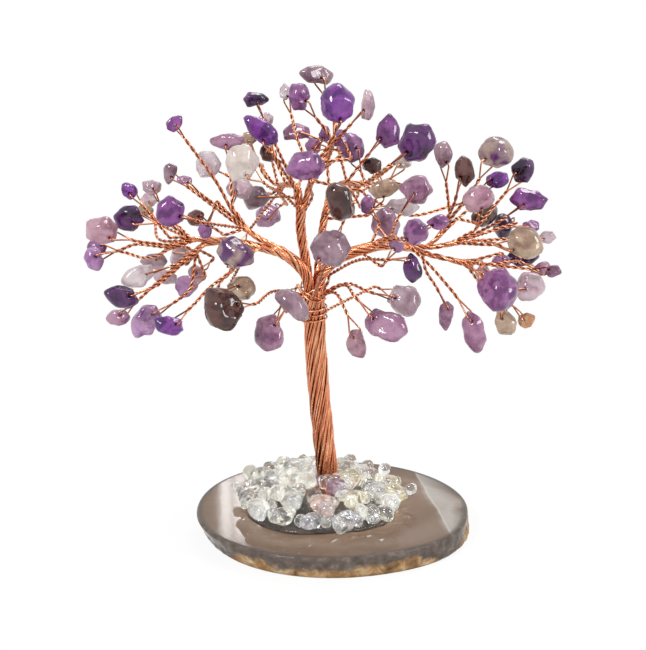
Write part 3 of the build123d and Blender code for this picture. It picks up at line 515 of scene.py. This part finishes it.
def stone(name, deep, pale, clearness, cloud_size):
    """Tumbled stone: deep and pale zones, milky veils, fine cracks and a wet polish."""
    paint = Paint(name)
    place = paint.place()
    zones = paint.noise(place, 190 / cloud_size, 2.0, 0.5, 1.2)
    veils = paint.noise(place, 620 / cloud_size, 5.0, 0.65, 0.8)
    colour = paint.ramp(
        paint.between(paint.maths("ADD", zones, paint.maths("MULTIPLY", veils, 0.35)), 0.46, 0.9),
        [(0.0, mixed(deep, (0, 0, 0), 0.3)), (0.28, deep), (0.62, mixed(deep, pale, 0.6)), (1.0, pale)],
    )
    cracks = paint.node("ShaderNodeTexVoronoi", {"feature": "DISTANCE_TO_EDGE"}, Scale=260.0)
    paint.join(cracks.inputs["Vector"], place)
    crack = paint.between(cracks.outputs["Distance"], 0.0, 0.03, 0.16, 0.0)
    bright = mixed(pale, (1, 1, 1), 0.1)
    colour = paint.mix(paint.maths("MULTIPLY", crack, paint.between(veils, 0.45, 0.65)), colour, bright)
    paint.set(
        Base_Color=colour,
        Roughness=paint.between(veils, 0.35, 0.7, 0.06, 0.14),
        Transmission_Weight=paint.between(zones, 0.3, 0.75, clearness * 0.3, min(1, clearness * 1.1)),
        IOR=1.54,
        Specular_IOR_Level=0.5,
    )
    paint.bump(paint.noise(place, 900, 4.0), 0.12, 0.4 * MM)
    return paint.material


def clear_stone(name, deep, pale, clearness, cloud_size):
    """Clear tumbled quartz with a few milky veils; light goes on through it."""
    paint = Paint(name)
    place = paint.place()
    veils = paint.noise(place, 420 / cloud_size, 4.0, 0.6, 0.9)
    colour = paint.ramp(veils, [(0.3, deep), (0.62, pale)])
    milk = paint.between(veils, 0.5, 0.75)
    paint.set(
        Base_Color=colour,
        Roughness=paint.between(veils, 0.4, 0.7, 0.0, 0.07),
        Transmission_Weight=paint.maths("SUBTRACT", clearness, paint.maths("MULTIPLY", milk, 0.4)),
        IOR=1.5,
    )
    paint.bump(paint.noise(place, 500, 2.0), 0.1, 0.4 * MM)
    paint.let_light_through(0.85)
    return paint.material


def copper():
    """Bare copper wire with painted shade: each wire's inward side, in the grooves between wires, is painted
    dark brown.
    """
    paint = Paint("copper")
    place = paint.place()
    patches = paint.noise(place, 240, 4.0, 0.6)
    drawn = paint.noise(place, 2600, 3.0)
    clean = paint.ramp(
        patches, [(0.3, (0.46, 0.13, 0.06)), (0.5, (0.76, 0.29, 0.15)), (0.7, (0.96, 0.56, 0.34))]
    )
    # Painted shade: each wire's inward-facing side is darkened, its edge shifted a little by the patches
    shade_weight = paint.node("ShaderNodeAttribute", {"attribute_name": "shade_weight"}).outputs["Fac"]
    painted_groove_shade = paint.between(paint.maths("ADD", shade_weight, paint.maths("MULTIPLY", patches, 0.3)), 0.4, 0.88)
    # The painted shade's colour, a near-black brown, mixed in by that weight
    colour = paint.mix(painted_groove_shade, clean, (0.15, 0.04, 0.016))
    paint.set(Base_Color=colour, Metallic=1.0, Roughness=paint.between(drawn, 0.3, 0.7, 0.2, 0.34))
    paint.bump(drawn, 0.08, 0.05 * MM)
    return paint.material


def agate(thickness):
    """Polished agate: bands that follow the rim, a pale band across, dark sides and an ochre rind."""
    paint = Paint("agate")
    spot = paint.node("ShaderNodeTexCoord").outputs["Object"]
    rim = paint.node("ShaderNodeAttribute", {"attribute_name": "stone"}).outputs["Fac"]
    warp = paint.noise(spot, 55, 4.0, 0.55, 0.6)
    fine = paint.noise(spot, 420, 5.0, 0.6)
    way = paint.maths("ADD", paint.maths("MULTIPLY", rim, 1 / (2.1 * MM)), paint.maths("MULTIPLY", warp, 9.0))
    wave = paint.maths("MULTIPLY_ADD", paint.maths("SINE", way), 0.5, 0.5)
    bands = paint.ramp(
        paint.maths("MULTIPLY_ADD", fine, 0.25, paint.maths("MULTIPLY", wave, 0.8)),
        [
            (0.0, (0.12, 0.090, 0.072)), (0.4, (0.19, 0.152, 0.125)),
            (0.7, (0.25, 0.21, 0.18)), (1.0, (0.35, 0.31, 0.28)),
        ],
    )
    near, far = (level_place(pixel, thickness) for pixel in PALE_BAND_PIXELS)
    run = (far - near).normalized()
    square = Vector((run.y, -run.x, 0))
    away = paint.node("ShaderNodeVectorMath", {"operation": "DOT_PRODUCT"})
    paint.join(away.inputs[0], spot)
    paint.join(away.inputs[1], tuple(square))
    side = paint.maths("SUBTRACT", away.outputs["Value"], near.dot(square) + 1.2 * MM)
    side = paint.maths("MULTIPLY_ADD", warp, 2.4 * MM, side)
    bands = paint.mix(paint.between(side, 0, 1.5 * MM, 0, 0.75), bands, (0.18, 0.115, 0.075))
    zone = paint.maths(
        "MULTIPLY", paint.between(side, -7 * MM, -1 * MM, 0, 0.6), paint.between(side, 0, 0.3 * MM, 1, 0)
    )
    bands = paint.mix(zone, bands, (0.40, 0.38, 0.355))
    line = paint.between(paint.maths("ABSOLUTE", side), 0.1 * MM, 0.5 * MM, 0.35, 0.0)
    bands = paint.mix(line, bands, (0.56, 0.53, 0.50))
    rim_line = paint.between(paint.maths("MULTIPLY_ADD", warp, 1.2 * MM, rim), 0.9 * MM, 1.9 * MM, 0.75, 0.0)
    top = paint.mix(rim_line, bands, (0.095, 0.083, 0.075))
    height = paint.node("ShaderNodeSeparateXYZ", Vector=spot).outputs["Z"]
    ragged = paint.maths("MULTIPLY_ADD", paint.noise(spot, 140, 5.0, 0.6, 0.8), 5.2 * MM, height)
    thick = paint.noise(spot, 38, 3.0, 0.5, 0.8)
    rind_top = paint.maths("MULTIPLY_ADD", thick, 15 * MM, -2.6 * MM)
    rind = paint.between(paint.maths("SUBTRACT", ragged, rind_top), -0.4 * MM, 0.5 * MM, 1.0, 0.0)
    dark = paint.ramp(
        fine, [(0.3, (0.070, 0.056, 0.048)), (0.55, (0.125, 0.100, 0.085)), (0.8, (0.23, 0.195, 0.17))]
    )
    ochre = paint.ramp(
        paint.noise(spot, 260, 5.0, 0.65, 0.5),
        [
            (0.3, (0.10, 0.055, 0.03)), (0.5, (0.31, 0.18, 0.08)),
            (0.62, (0.45, 0.33, 0.20)), (0.78, (0.62, 0.56, 0.47)),
        ],
    )
    wall = paint.mix(rind, dark, ochre)
    upper = paint.between(rim, 0.02 * MM, 0.3 * MM)
    paint.set(
        Base_Color=paint.mix(upper, wall, top),
        Roughness=paint.maths("MULTIPLY_ADD", rind, 0.55, 0.06),
        Specular_IOR_Level=0.08,
    )
    paint.bump(fine, 0.03, 0.2 * MM)
    return paint.material


def clear_glue():
    """Clear set glue with a slightly wavy wet surface."""
    paint = Paint("clear_glue")
    spot = paint.node("ShaderNodeTexCoord").outputs["Object"]
    waves = paint.noise(spot, 240, 3.0)
    paint.set(
        Base_Color=paint.ramp(waves, [(0.3, (0.93, 0.93, 0.92)), (0.7, (0.98, 0.98, 0.97))]),
        Roughness=0.03,
        Transmission_Weight=0.97,
        IOR=1.42,
    )
    paint.bump(waves, 0.25, 0.5 * MM)
    paint.let_light_through(0.9)
    return paint.material


# The picture: where a place shows, and the tone nearest to it
def seen_at(place):
    """The pixel at which a place shows."""
    sight = Vector(place) - EYE
    depth = sight.y * math.cos(EYE_PITCH) - sight.z * math.sin(EYE_PITCH)
    rise = sight.y * math.sin(EYE_PITCH) + sight.z * math.cos(EYE_PITCH)
    across = PICTURE_PIXELS[0] / 2 + FOCAL_PIXELS * sight.x / depth
    return across, PICTURE_PIXELS[1] / 2 - FOCAL_PIXELS * rise / depth


def level_place(pixel, height):
    """The place at a height that shows at a pixel."""
    across = (pixel[0] - PICTURE_PIXELS[0] / 2) / FOCAL_PIXELS
    down = (pixel[1] - PICTURE_PIXELS[1] / 2) / FOCAL_PIXELS
    ahead = Vector((across, math.cos(EYE_PITCH), -math.sin(EYE_PITCH)))
    sight = ahead - Vector((0, math.sin(EYE_PITCH), math.cos(EYE_PITCH))) * down
    return EYE + sight * (height - EYE.z) / sight.z


def tone_at(place, rows, others, reach):
    """The tone of the row nearest to where a place shows, or a random one where none is in reach."""
    px, py = seen_at(place)
    away, tone = min((math.hypot(px - row[0], py - row[1]), row[2]) for row in rows)
    return tone if away < reach else chance.choice(others)


# Wires
WIRE_NODES = sorted(node for node in frame["nodes"] if node.endswith("_twigs"))
ROPE_NODES = sorted(node for node in frame["nodes"] if node.endswith(("_limb", "_branch"))) + ["trunk_wires"]


class Rope:
    """A bundle read from its CAD node: ring middles and radii from its seat to its flared head."""

    def __init__(self, node):
        rings = solids_of(node)[0].rings()
        middles = [ring.mean(0) for ring in rings]
        radii = [np.linalg.norm(ring - middle, axis=1).max() for ring, middle in zip(rings, middles)]
        if radii[0] > radii[-1]:
            middles, radii = middles[::-1], radii[::-1]
        self.node, self.middles, self.radii = node, middles, radii
        self.head, self.slim, self.wide = middles[-1], radii[0], radii[-1]

    def inner(self, seat):
        """Where a wire that leaves the head at a seat comes from, lower down inside the bundle."""
        share = self.slim / self.wide * 0.82
        gather, under = self.middles[-3], self.middles[-4]
        offset = (seat - self.head) * share
        return [gather * 0.35 + under * 0.65 + offset * 0.7, gather + offset]


ropes = {node: Rope(node) for node in ROPE_NODES}

# The middle of each open loop and the direction of its wire there, where stones are drilled
drilled = []


def parent_of(seat, own=None):
    """The bundle whose head a wire or a smaller bundle stands on."""
    others = [rope for node, rope in ropes.items() if node != own]
    return min(others, key=lambda rope: np.linalg.norm(rope.head - seat))


def bundle(rope):
    """The rope's wires, laid side by side round its core."""
    shape = Shape()
    path = list(rope.middles[:-1])
    radii = list(rope.radii[:-1])
    radii[-1] = rope.slim * 0.8
    if rope.node != "trunk_wires":
        start = parent_of(path[0], rope.node).inner(path[0])
        path = start + path
        radii = [rope.slim * 0.85, rope.slim * 0.95] + radii
    line = Line(rounded(path, 0.5, 6), 0.8 * MM)
    corner_way = np.concatenate([[0], np.cumsum(np.linalg.norm(np.diff(path, axis=0), axis=1))])
    radius = np.interp(line.way * corner_way[-1] / line.way[-1], corner_way, radii)
    count = max(5, int(math.pi * (rope.slim - BUNDLE_STRAND_RADIUS) / BUNDLE_STRAND_RADIUS * 0.97))
    pitch = TRUNK_PITCH if rope.node == "trunk_wires" else 2 * math.pi * rope.slim / math.tan(LIMB_LEAN)
    for strand in range(count):
        sway = chance.uniform(0.5, 1.0)
        wave = np.sin(line.way / (9 * MM) + chance.uniform(0, RANDOM_PHASE))
        wander = sway * wave * 0.55 / count * 6.3
        angles = 2 * math.pi * (strand / count + line.way / pitch) + wander
        lift = 1 + 0.05 * np.sin(line.way / (5 * MM) + chance.uniform(0, RANDOM_PHASE))
        places, out = line.off(angles, (radius - BUNDLE_STRAND_RADIUS) * lift)
        thickness = BUNDLE_STRAND_RADIUS * chance.uniform(0.92, 1.06)
        shape.tube(places, thickness, out, WIRE_SIDES, chance.random())
    shape.tube(line.places, radius - 1.5 * BUNDLE_STRAND_RADIUS, line.first, CORE_SIDES)
    if rope.node == "trunk_wires":
        crossing_wires(shape, rope)
    return shape


def gentleness(path):
    """How far a path is from turning back at its sharpest corner: one is straight on."""
    runs = unit(np.diff(np.array(path), axis=0))
    return (runs[1:] * runs[:-1]).sum(1).min() if len(runs) > 1 else 1


def twig_shape(node):
    """Every twisted pair of the node, and the open loop that each pair ends in."""
    shape = Shape()
    stems, loops = [], []
    for solid in solids_of(node):
        middles = [ring.mean(0) for ring in solid.rings()]
        if len(middles) == 4 and np.linalg.norm(middles[0] - middles[-1]) < 1.2 * MM:
            loops.append(middles)
        else:
            stems.append(middles)
    for loop in loops:
        foot = (loop[0] + loop[-1]) / 2
        stem = min(stems, key=lambda way: min(np.linalg.norm(way[end] - foot) for end in (0, -1)))
        if np.linalg.norm(stem[0] - foot) < np.linalg.norm(stem[-1] - foot):
            stem = stem[::-1]
        rope = parent_of(stem[0])
        inner = rope.inner(stem[0])
        leads = ((inner, 0), (inner, 2), (inner[:1], 2), (inner, 3), (inner[:1], 3))
        routes = [lead + stem[skipped:] for lead, skipped in leads]
        smooth = [route for route in routes if gentleness(route) > TURN_BACK]
        line = Line(rounded(smooth[0] if smooth else max(routes, key=gentleness), 0.5, 6))
        legs = loop[0] - loop[-1]
        angle = math.atan2(legs @ line.second[-1], legs @ line.first[-1])
        pitch = TWIST_PITCH * chance.uniform(0.85, 1.2)
        mark = chance.random()
        for side in (0, math.pi):
            angles = angle + side - 2 * math.pi * (line.way[-1] - line.way) / pitch
            places, out = line.off(angles, np.full(len(line.way), STRAND_RADIUS * 0.98))
            shape.tube(places, STRAND_RADIUS, out, THIN_WIRE_SIDES, mark)
        out = unit(loop[1] - loop[2])
        tuck = unit(foot - stem[-2]) * STRAND_RADIUS
        corners = [loop[0] - tuck, loop[0], loop[1], loop[2], loop[-1], loop[-1] - tuck]
        wire = Line(rounded(corners, 0.3, 7), STEP * 0.8)
        shape.tube(wire.places, LOOP_RADIUS, wire.first, WIRE_SIDES, mark)
        drilled.append((loop[1] * 0.5 + loop[2] * 0.5, out))
    return shape


# Stones
def pebble(shape, solid, kind, mark, hole, sharpness, lump, fullness):
    """A tumbled stone that fills the solid's planes, with the hole that a wire goes through, if any."""
    directions, reaches = solid.planes()
    middle, axis = hole if hole is not None else (solid.centre, np.array([0.0, 0.0, 1.0]))
    side = unit(np.cross(axis, [0.31, 0.52, 0.79]))
    other = np.cross(axis, side)
    room = reaches - directions @ middle

    def surface(sights):
        facing = np.maximum(sights @ directions.T, 1e-6)
        return fullness * (np.sum((facing / room) ** sharpness, axis=-1)) ** (-1 / sharpness)

    steps, rows = STONE_STEPS, STONE_ROWS
    fine = np.linspace(0, 2 * math.pi, 181)
    rim = surface(np.cos(fine)[:, None] * side + np.sin(fine)[:, None] * other)
    edge = np.stack([rim * np.cos(fine), rim * np.sin(fine)], axis=1)
    runs = np.linalg.norm(np.diff(edge, axis=0), axis=1) + 0.4 * rim[1:] * np.diff(fine)
    way = np.concatenate([[0], np.cumsum(runs)])
    turns = np.interp(np.arange(steps) / steps * way[-1], way, fine)
    rings = []
    for turn in turns:
        level = math.cos(turn) * side + math.sin(turn) * other
        up, down = surface(axis[None])[0], surface(-axis[None])[0]
        begin = math.atan2(HOLE_RADIUS, up) if hole is not None else 0.02
        end = math.pi - (math.atan2(HOLE_RADIUS, down) if hole is not None else 0.02)
        tilts = np.linspace(begin, end, 97)
        sights = np.cos(tilts)[:, None] * axis + np.sin(tilts)[:, None] * level
        curve = middle + sights * surface(sights)[:, None]
        length = np.concatenate([[0], np.cumsum(np.linalg.norm(np.diff(curve, axis=0), axis=1))])
        wanted = np.linspace(0, length[-1], rows)
        rings.append(np.stack([np.interp(wanted, length, curve[:, a]) for a in range(3)], axis=1))
    grid = np.array(rings)
    shift = Vector((mark * 97, mark * 31, mark * 53))
    centre = solid.centre
    flat = grid.reshape(-1, 3)
    dents = np.empty(len(flat))
    for number, place in enumerate(flat):
        spot = Vector(place) * LUMPS_PER_METRE + shift
        dents[number] = noise.noise(spot) + noise.noise(spot * 2.4) * 0.4 + noise.noise(spot * 6) * 0.16
    if hole is not None:
        away = np.linalg.norm(np.cross(flat - middle, axis), axis=1)
        dents *= np.clip((away - HOLE_RADIUS) / HOLE_RADIUS, 0, 1)
    flat = flat + unit(flat - centre) * dents[:, None] * lump
    if hole is not None:
        lean = math.cos(mark * 40) * side + math.sin(mark * 40) * other
        share = (flat - middle) @ lean / np.abs((flat - middle) @ lean).max()
        flat = middle + (flat - middle) * (1 - TAPER * (1 - share) / 2)[:, None]
    faces = []
    for step in range(steps):
        for row in range(rows - 1):
            a, b = step * rows + row, (step + 1) % steps * rows + row
            faces.append((a, b, b + 1, a + 1))
    if hole is not None:
        for step in range(steps):
            a, b = step * rows, (step + 1) % steps * rows
            faces.append((b, a, a + rows - 1, b + rows - 1))
    else:
        faces.append(tuple(step * rows for step in range(steps))[::-1])
        faces.append(tuple(step * rows + rows - 1 for step in range(steps)))
    shape.add(flat, faces, kind, mark)


def add_small_stones(shape, solid, names, others):
    """Smaller clear stones that fill the gaps beside one of the pile's stones."""
    for turn in (0.4, 2.5, 4.6):
        size = chance.uniform(0.55, 0.85)
        angle = turn + chance.uniform(-0.7, 0.7)
        out = np.array([math.cos(angle), math.sin(angle), chance.uniform(-0.1, 0.35)])
        spin = chance.uniform(0, math.pi)
        cosine, sine = math.cos(spin), math.sin(spin)
        ways = np.array([[cosine, sine, 0], [-sine, cosine, 0], [0, 0, 1.25]])
        centre = solid.centre + out * chance.uniform(2.6, 3.8) * MM
        small = Solid((solid.places - solid.centre) * size @ ways + centre, solid.faces)
        tone = names.index(chance.choice(others))
        pebble(shape, small, tone, chance.random(), None, SHARPNESS, QUARTZ_LUMP_HEIGHT, FULLNESS)


def build_stones(node, tones, rows, others, materials, slot, reach):
    """The stones of a node as one piece: drilled ones, or a clear pile with its gaps filled."""
    shape = Shape()
    names = list(tones)
    clear = node.startswith("quartz")
    for solid in solids_of(node):
        tone = names.index(tone_at(solid.centre, rows, others, reach))
        if clear:
            mark = chance.random()
            pebble(shape, solid, tone, mark, None, SHARPNESS, QUARTZ_LUMP_HEIGHT, QUARTZ_FULLNESS)
            add_small_stones(shape, solid, names, others)
        else:
            directions, reaches = solid.planes()
            hole = max(drilled, key=lambda row: (reaches - directions @ row[0]).min())
            fullness = HUNG_FULLNESS if node.startswith("hanging") else FULLNESS
            mark = chance.random()
            sharpness = chance.choice(DRILLED_SHARPNESSES)
            pebble(shape, solid, tone, mark, hole, sharpness, LUMP_HEIGHT, fullness)
    shape.piece(node + "_stones", node, slot, materials)


# Foot
def polar_ring(corners, turns):
    """How far a ring of corners reaches at each angle round the upright axis through its centre."""
    angles = np.arctan2(corners[:, 1], corners[:, 0])
    order = np.argsort(angles)
    return np.interp(turns, angles[order], np.hypot(corners[:, 0], corners[:, 1])[order], period=2 * math.pi)


def closed_stack(shape, turns, levels, marks):
    """A body of rings of places, from a ring at its top to one at its bottom, both closed flat."""
    places, faces = [], []
    for reach, height in levels:
        heights = np.broadcast_to(height, len(turns))
        places.append(np.stack([reach * np.cos(turns), reach * np.sin(turns), heights], axis=1))
    count = len(turns)
    for level in range(len(levels) - 1):
        for step in range(count):
            here, there = level * count + step, level * count + (step + 1) % count
            faces.append((here, here + count, there + count, there))
    faces.append(tuple(range(count)))
    faces.append(tuple(range(len(levels) * count - count, len(levels) * count))[::-1])
    shape.add(np.vstack(places), faces)
    shape.marks[-count * len(levels):] = [float(mark) for mark in np.repeat(marks, count)]


def slice_shape():
    """The slice: flat polished top, rounded edge, rough drawn-in side and flat underside."""
    corners = np.vstack([solid.corners for solid in solids_of("agate_slice")])
    floor, roof = corners[:, 2].min(), corners[:, 2].max()
    heights = (floor, floor + SLICE_CHAMFER, roof - SLICE_CHAMFER, roof)
    turns = np.linspace(-math.pi, math.pi, RIM_STEPS, endpoint=False)
    low, foot, edge, top = (
        polar_ring(corners[np.abs(corners[:, 2] - height) < 0.1 * MM], turns) for height in heights
    )
    levels = [(top - inset, heights[3]) for inset in TOP_INSETS]
    marks = list(TOP_INSETS)
    for bend in np.linspace(0, math.pi / 2, 6):
        height = heights[2] + (heights[3] - heights[2]) * math.cos(bend)
        levels.append((top + (edge - top) * math.sin(bend), height))
        marks.append(0.15 * MM * (1 - bend))
    for share in np.linspace(0, 1, 12)[1:]:
        height = heights[2] + (heights[1] - heights[2]) * share
        reach = edge + (foot - edge) * share
        rough = []
        for turn, far in zip(turns, reach):
            spot = Vector((far * math.cos(turn), far * math.sin(turn), height)) * 420
            rough.append(0.5 + noise.noise(spot) * 0.5 + noise.noise(spot * 2.6) * 0.35)
        levels.append((reach - np.array(rough) * min(1, share * 1.6) * ROUGH_DEPTH, height))
        marks.append(0)
    levels.append((low - 0.3 * MM, heights[0]))
    marks.append(0)
    shape = Shape()
    closed_stack(shape, turns, levels, marks)
    return shape, heights[3]


def glue_shape():
    """The glue's smooth mound, as high as its solid and a little narrower."""
    corners = np.vstack([solid.corners for solid in solids_of("glue_bed")])
    floor = corners[:, 2].min()
    base = corners[corners[:, 2] < floor + 0.05 * MM]
    centre = (base.min(0) + base.max(0)) / 2 * np.array([1, 1, 0])
    turns = np.linspace(-math.pi, math.pi, MOUND_STEPS, endpoint=False)
    far = np.hypot(*(base - centre)[:, :2].T)
    outline = polar_ring((base - centre)[far > 0.8 * far.max()], turns) * GLUE_SHRINK
    tall = corners[:, 2].max() - floor
    shares = (0.12, 0.25, 0.4, 0.55, 0.7, 0.82, 0.91, 0.97, 1)
    levels = [(outline * share, floor + tall * (1 - share ** 2) ** 0.8) for share in shares]
    levels.append((outline * 0.98, floor))
    shape = Shape()
    closed_stack(shape, turns, levels, [0] * len(levels))
    shape.places = [places + centre for places in shape.places]
    return shape


def binding_shape(trunk):
    """The wire wound round the trunk's head."""
    corners = np.vstack([solid.corners for solid in solids_of("trunk_binding")])
    centre = (corners.min(0) + corners.max(0)) / 2
    spans = np.diff(trunk.middles, axis=0)
    nearest = min(range(len(spans)), key=lambda k: np.linalg.norm(trunk.middles[k] + spans[k] / 2 - centre))
    along = unit(spans[nearest])
    rise = (corners - centre) @ along
    radius = np.linalg.norm((corners - centre) - np.outer(rise, along), axis=1).mean()
    first = unit(np.cross(along, [0.0, 1.0, 0.0]))
    second = np.cross(along, first)
    turns = np.linspace(0, 2 * math.pi * BINDING_TURNS, 48 * BINDING_TURNS)
    climb = np.linspace(-0.42, 0.42, len(turns)) * np.ptp(rise)
    out = np.cos(turns)[:, None] * first + np.sin(turns)[:, None] * second
    shape = Shape()
    shape.tube(centre + out * radius + climb[:, None] * along, BINDING_RADIUS, out, WIRE_SIDES)
    return shape


def crossing_wires(shape, trunk):
    """Thin wires laid criss-cross over the place where the limbs part from the trunk."""
    head, under = trunk.middles[-2], trunk.middles[-3]
    along = unit(head - under)
    first = unit(np.cross(along, [0.0, 1.0, 0.0]))
    second = np.cross(along, first)
    turns = np.linspace(0, 2 * math.pi, 60)
    out = np.cos(turns)[:, None] * first + np.sin(turns)[:, None] * second
    for step in range(CROTCH_TURNS):
        lean = (-1) ** step * (1.5 + 0.5 * step) * MM
        middle = under + (head - under) * (0.35 + 0.25 * step)
        rise = lean * np.cos(turns + step * 0.6)
        places = middle + out * (trunk.slim * 1.04 + BINDING_RADIUS) + rise[:, None] * along
        shape.tube(places, BINDING_RADIUS * 0.85, out, THIN_WIRE_SIDES, chance.random())


def root_shape():
    """The wires' splayed ends, each a small twisted bundle."""
    shape = Shape()
    for solid in solids_of("root_wires"):
        rings = solid.rings()
        middles = [ring.mean(0) for ring in rings]
        radius = min(np.linalg.norm(ring - middle, axis=1).max() for ring, middle in zip(rings, middles))
        line = Line(rounded(middles, 0.45, 6), 0.6 * MM)
        for strand in range(ROOT_STRANDS):
            angles = 2 * math.pi * (strand / ROOT_STRANDS + line.way / ROOT_PITCH)
            places, out = line.off(angles, radius - BUNDLE_STRAND_RADIUS)
            shape.tube(places, BUNDLE_STRAND_RADIUS, out, THIN_WIRE_SIDES, chance.random())
    return shape


copper_paint = copper()
slab, slab_top = slice_shape()
slab.piece("slice_polished", "agate_slice", "agate", [agate(slab_top)])
glue_shape().piece("glue_mound", "glue_bed", "clear_glue", [clear_glue()])
binding_shape(ropes["trunk_wires"]).piece("binding_wire", "trunk_binding", "copper_wire", [copper_paint])
root_shape().piece("root_strands", "root_wires", "copper_wire", [copper_paint])
for node in ROPE_NODES:
    bundle(ropes[node]).piece(node + "_strands", node, "copper_wire", [copper_paint])
for node in WIRE_NODES:
    twig_shape(node).piece(node + "_pairs", node, "copper_wire", [copper_paint])
amethyst = [stone("amethyst_" + name, *values) for name, values in TONES.items()]
quartz = [clear_stone("quartz_" + name, *values) for name, values in QUARTZ_TONES.items()]
for node in sorted(frame["nodes"]):
    if node.startswith("quartz"):
        build_stones(
            node, QUARTZ_TONES, QUARTZ_PIXELS, PLAIN_QUARTZ, quartz, "clear_quartz", QUARTZ_REACH_PIXELS
        )
    elif node.endswith("_chips") or node.startswith("hanging"):
        build_stones(node, TONES, TONE_PIXELS, HIDDEN_TONES, amethyst, "amethyst", TONE_REACH_PIXELS)


# Stage: floor, world, lamps and camera
def lamp(name, place, aim, size, power):
    light = bpy.data.lights.new(name, "AREA")
    light.shape = "RECTANGLE"
    light.size, light.size_y = size
    light.energy = power
    holder = bpy.data.objects.new(name, light)
    holder.location = place
    holder.rotation_euler = (Vector(aim) - Vector(place)).to_track_quat("-Z", "Y").to_euler()
    bpy.context.scene.collection.objects.link(holder)


def white_where_seen(tree):
    """One for what the camera, reflections and clear stones show, and nought for all other light."""
    path = tree.nodes.new("ShaderNodeLightPath")
    seen = tree.nodes.new("ShaderNodeMath")
    seen.operation = "MAXIMUM"
    tree.links.new(seen.inputs[0], path.outputs["Is Camera Ray"])
    more = tree.nodes.new("ShaderNodeMath")
    more.operation = "MAXIMUM"
    tree.links.new(more.inputs[0], path.outputs["Is Glossy Ray"])
    tree.links.new(more.inputs[1], path.outputs["Is Transmission Ray"])
    tree.links.new(seen.inputs[1], more.outputs[0])
    return seen.outputs[0]


def build_world():
    """Even light from all sides, which shows as white."""
    world = bpy.data.worlds.new("studio")
    bpy.context.scene.world = world
    world.use_nodes = True
    tree = world.node_tree
    plain = tree.nodes["Background"]
    plain.inputs["Color"].default_value = (0.93, 0.92, 0.91, 1)
    plain.inputs["Strength"].default_value = 0.45
    white = tree.nodes.new("ShaderNodeBackground")
    white.inputs["Color"].default_value = (1, 1, 1, 1)
    mix = tree.nodes.new("ShaderNodeMixShader")
    tree.links.new(mix.inputs[0], white_where_seen(tree))
    tree.links.new(mix.inputs[1], plain.outputs[0])
    tree.links.new(mix.inputs[2], white.outputs[0])
    tree.links.new(tree.nodes["World Output"].inputs["Surface"], mix.outputs[0])


def build_floor():
    """White paper that keeps its shadows near the object and is pure white further out."""
    corners = [(x * FLOOR_REACH, y * FLOOR_REACH, 0) for x, y in ((-1, -1), (1, -1), (1, 1), (-1, 1))]
    mesh = bpy.data.meshes.new("floor")
    mesh.from_pydata(corners, [], [(0, 1, 2, 3)])
    floor = bpy.data.objects.new("floor", mesh)
    floor.location.z = low_before.z - 0.05 * MM
    bpy.context.scene.collection.objects.link(floor)
    paint = Paint("floor_paper")
    grain = paint.noise(paint.node("ShaderNodeTexCoord").outputs["Object"], 900, 2.0)
    paper = paint.ramp(grain, [(0.3, (0.88, 0.88, 0.88)), (0.7, (0.91, 0.91, 0.91))])
    paint.set(Base_Color=paper, Roughness=0.9)
    glow = paint.node("ShaderNodeEmission", Color=(1, 1, 1, 1), Strength=1.0)
    mix = paint.tree.nodes.new("ShaderNodeMixShader")
    seen = white_where_seen(paint.tree)
    spread = paint.node("ShaderNodeVectorMath", {"operation": "LENGTH"})
    paint.join(spread.inputs[0], paint.node("ShaderNodeTexCoord").outputs["Object"])
    share = paint.between(spread.outputs["Value"], 0.08, 0.5, 0.88, 1.0)
    paint.tree.links.new(mix.inputs[0], paint.maths("MULTIPLY", seen, share))
    paint.tree.links.new(mix.inputs[1], paint.surface.outputs[0])
    paint.tree.links.new(mix.inputs[2], glow.outputs[0])
    paint.tree.links.new(paint.tree.nodes["Material Output"].inputs["Surface"], mix.outputs[0])
    mesh.materials.append(paint.material)


def build_camera():
    data = bpy.data.cameras.new("camera")
    data.sensor_width = SENSOR_WIDTH
    data.lens = SENSOR_WIDTH * FOCAL_PIXELS / max(PICTURE_PIXELS)
    data.clip_start, data.clip_end = 0.01, 20
    camera = bpy.data.objects.new("camera", data)
    camera.location = EYE
    camera.rotation_euler = (math.pi / 2 - EYE_PITCH, 0, 0)
    bpy.context.scene.collection.objects.link(camera)
    bpy.context.scene.camera = camera


build_world()
build_floor()
build_camera()
for name, place, size, power in LAMPS:
    lamp(name, place, LAMP_AIM, size, power)
patch = level_place(WINDOW_PIXEL, slab_top)
mirrored = (patch - EYE) * Vector((1, 1, -1))
window = patch + mirrored / mirrored.y
for pane in (-1, 0, 1):
    lamp("window", window + Vector((pane * PANE_SPACING, 0, 0)), patch, PANE_SIZE, PANE_POWER)
bpy.context.scene.view_settings.view_transform = "Standard"
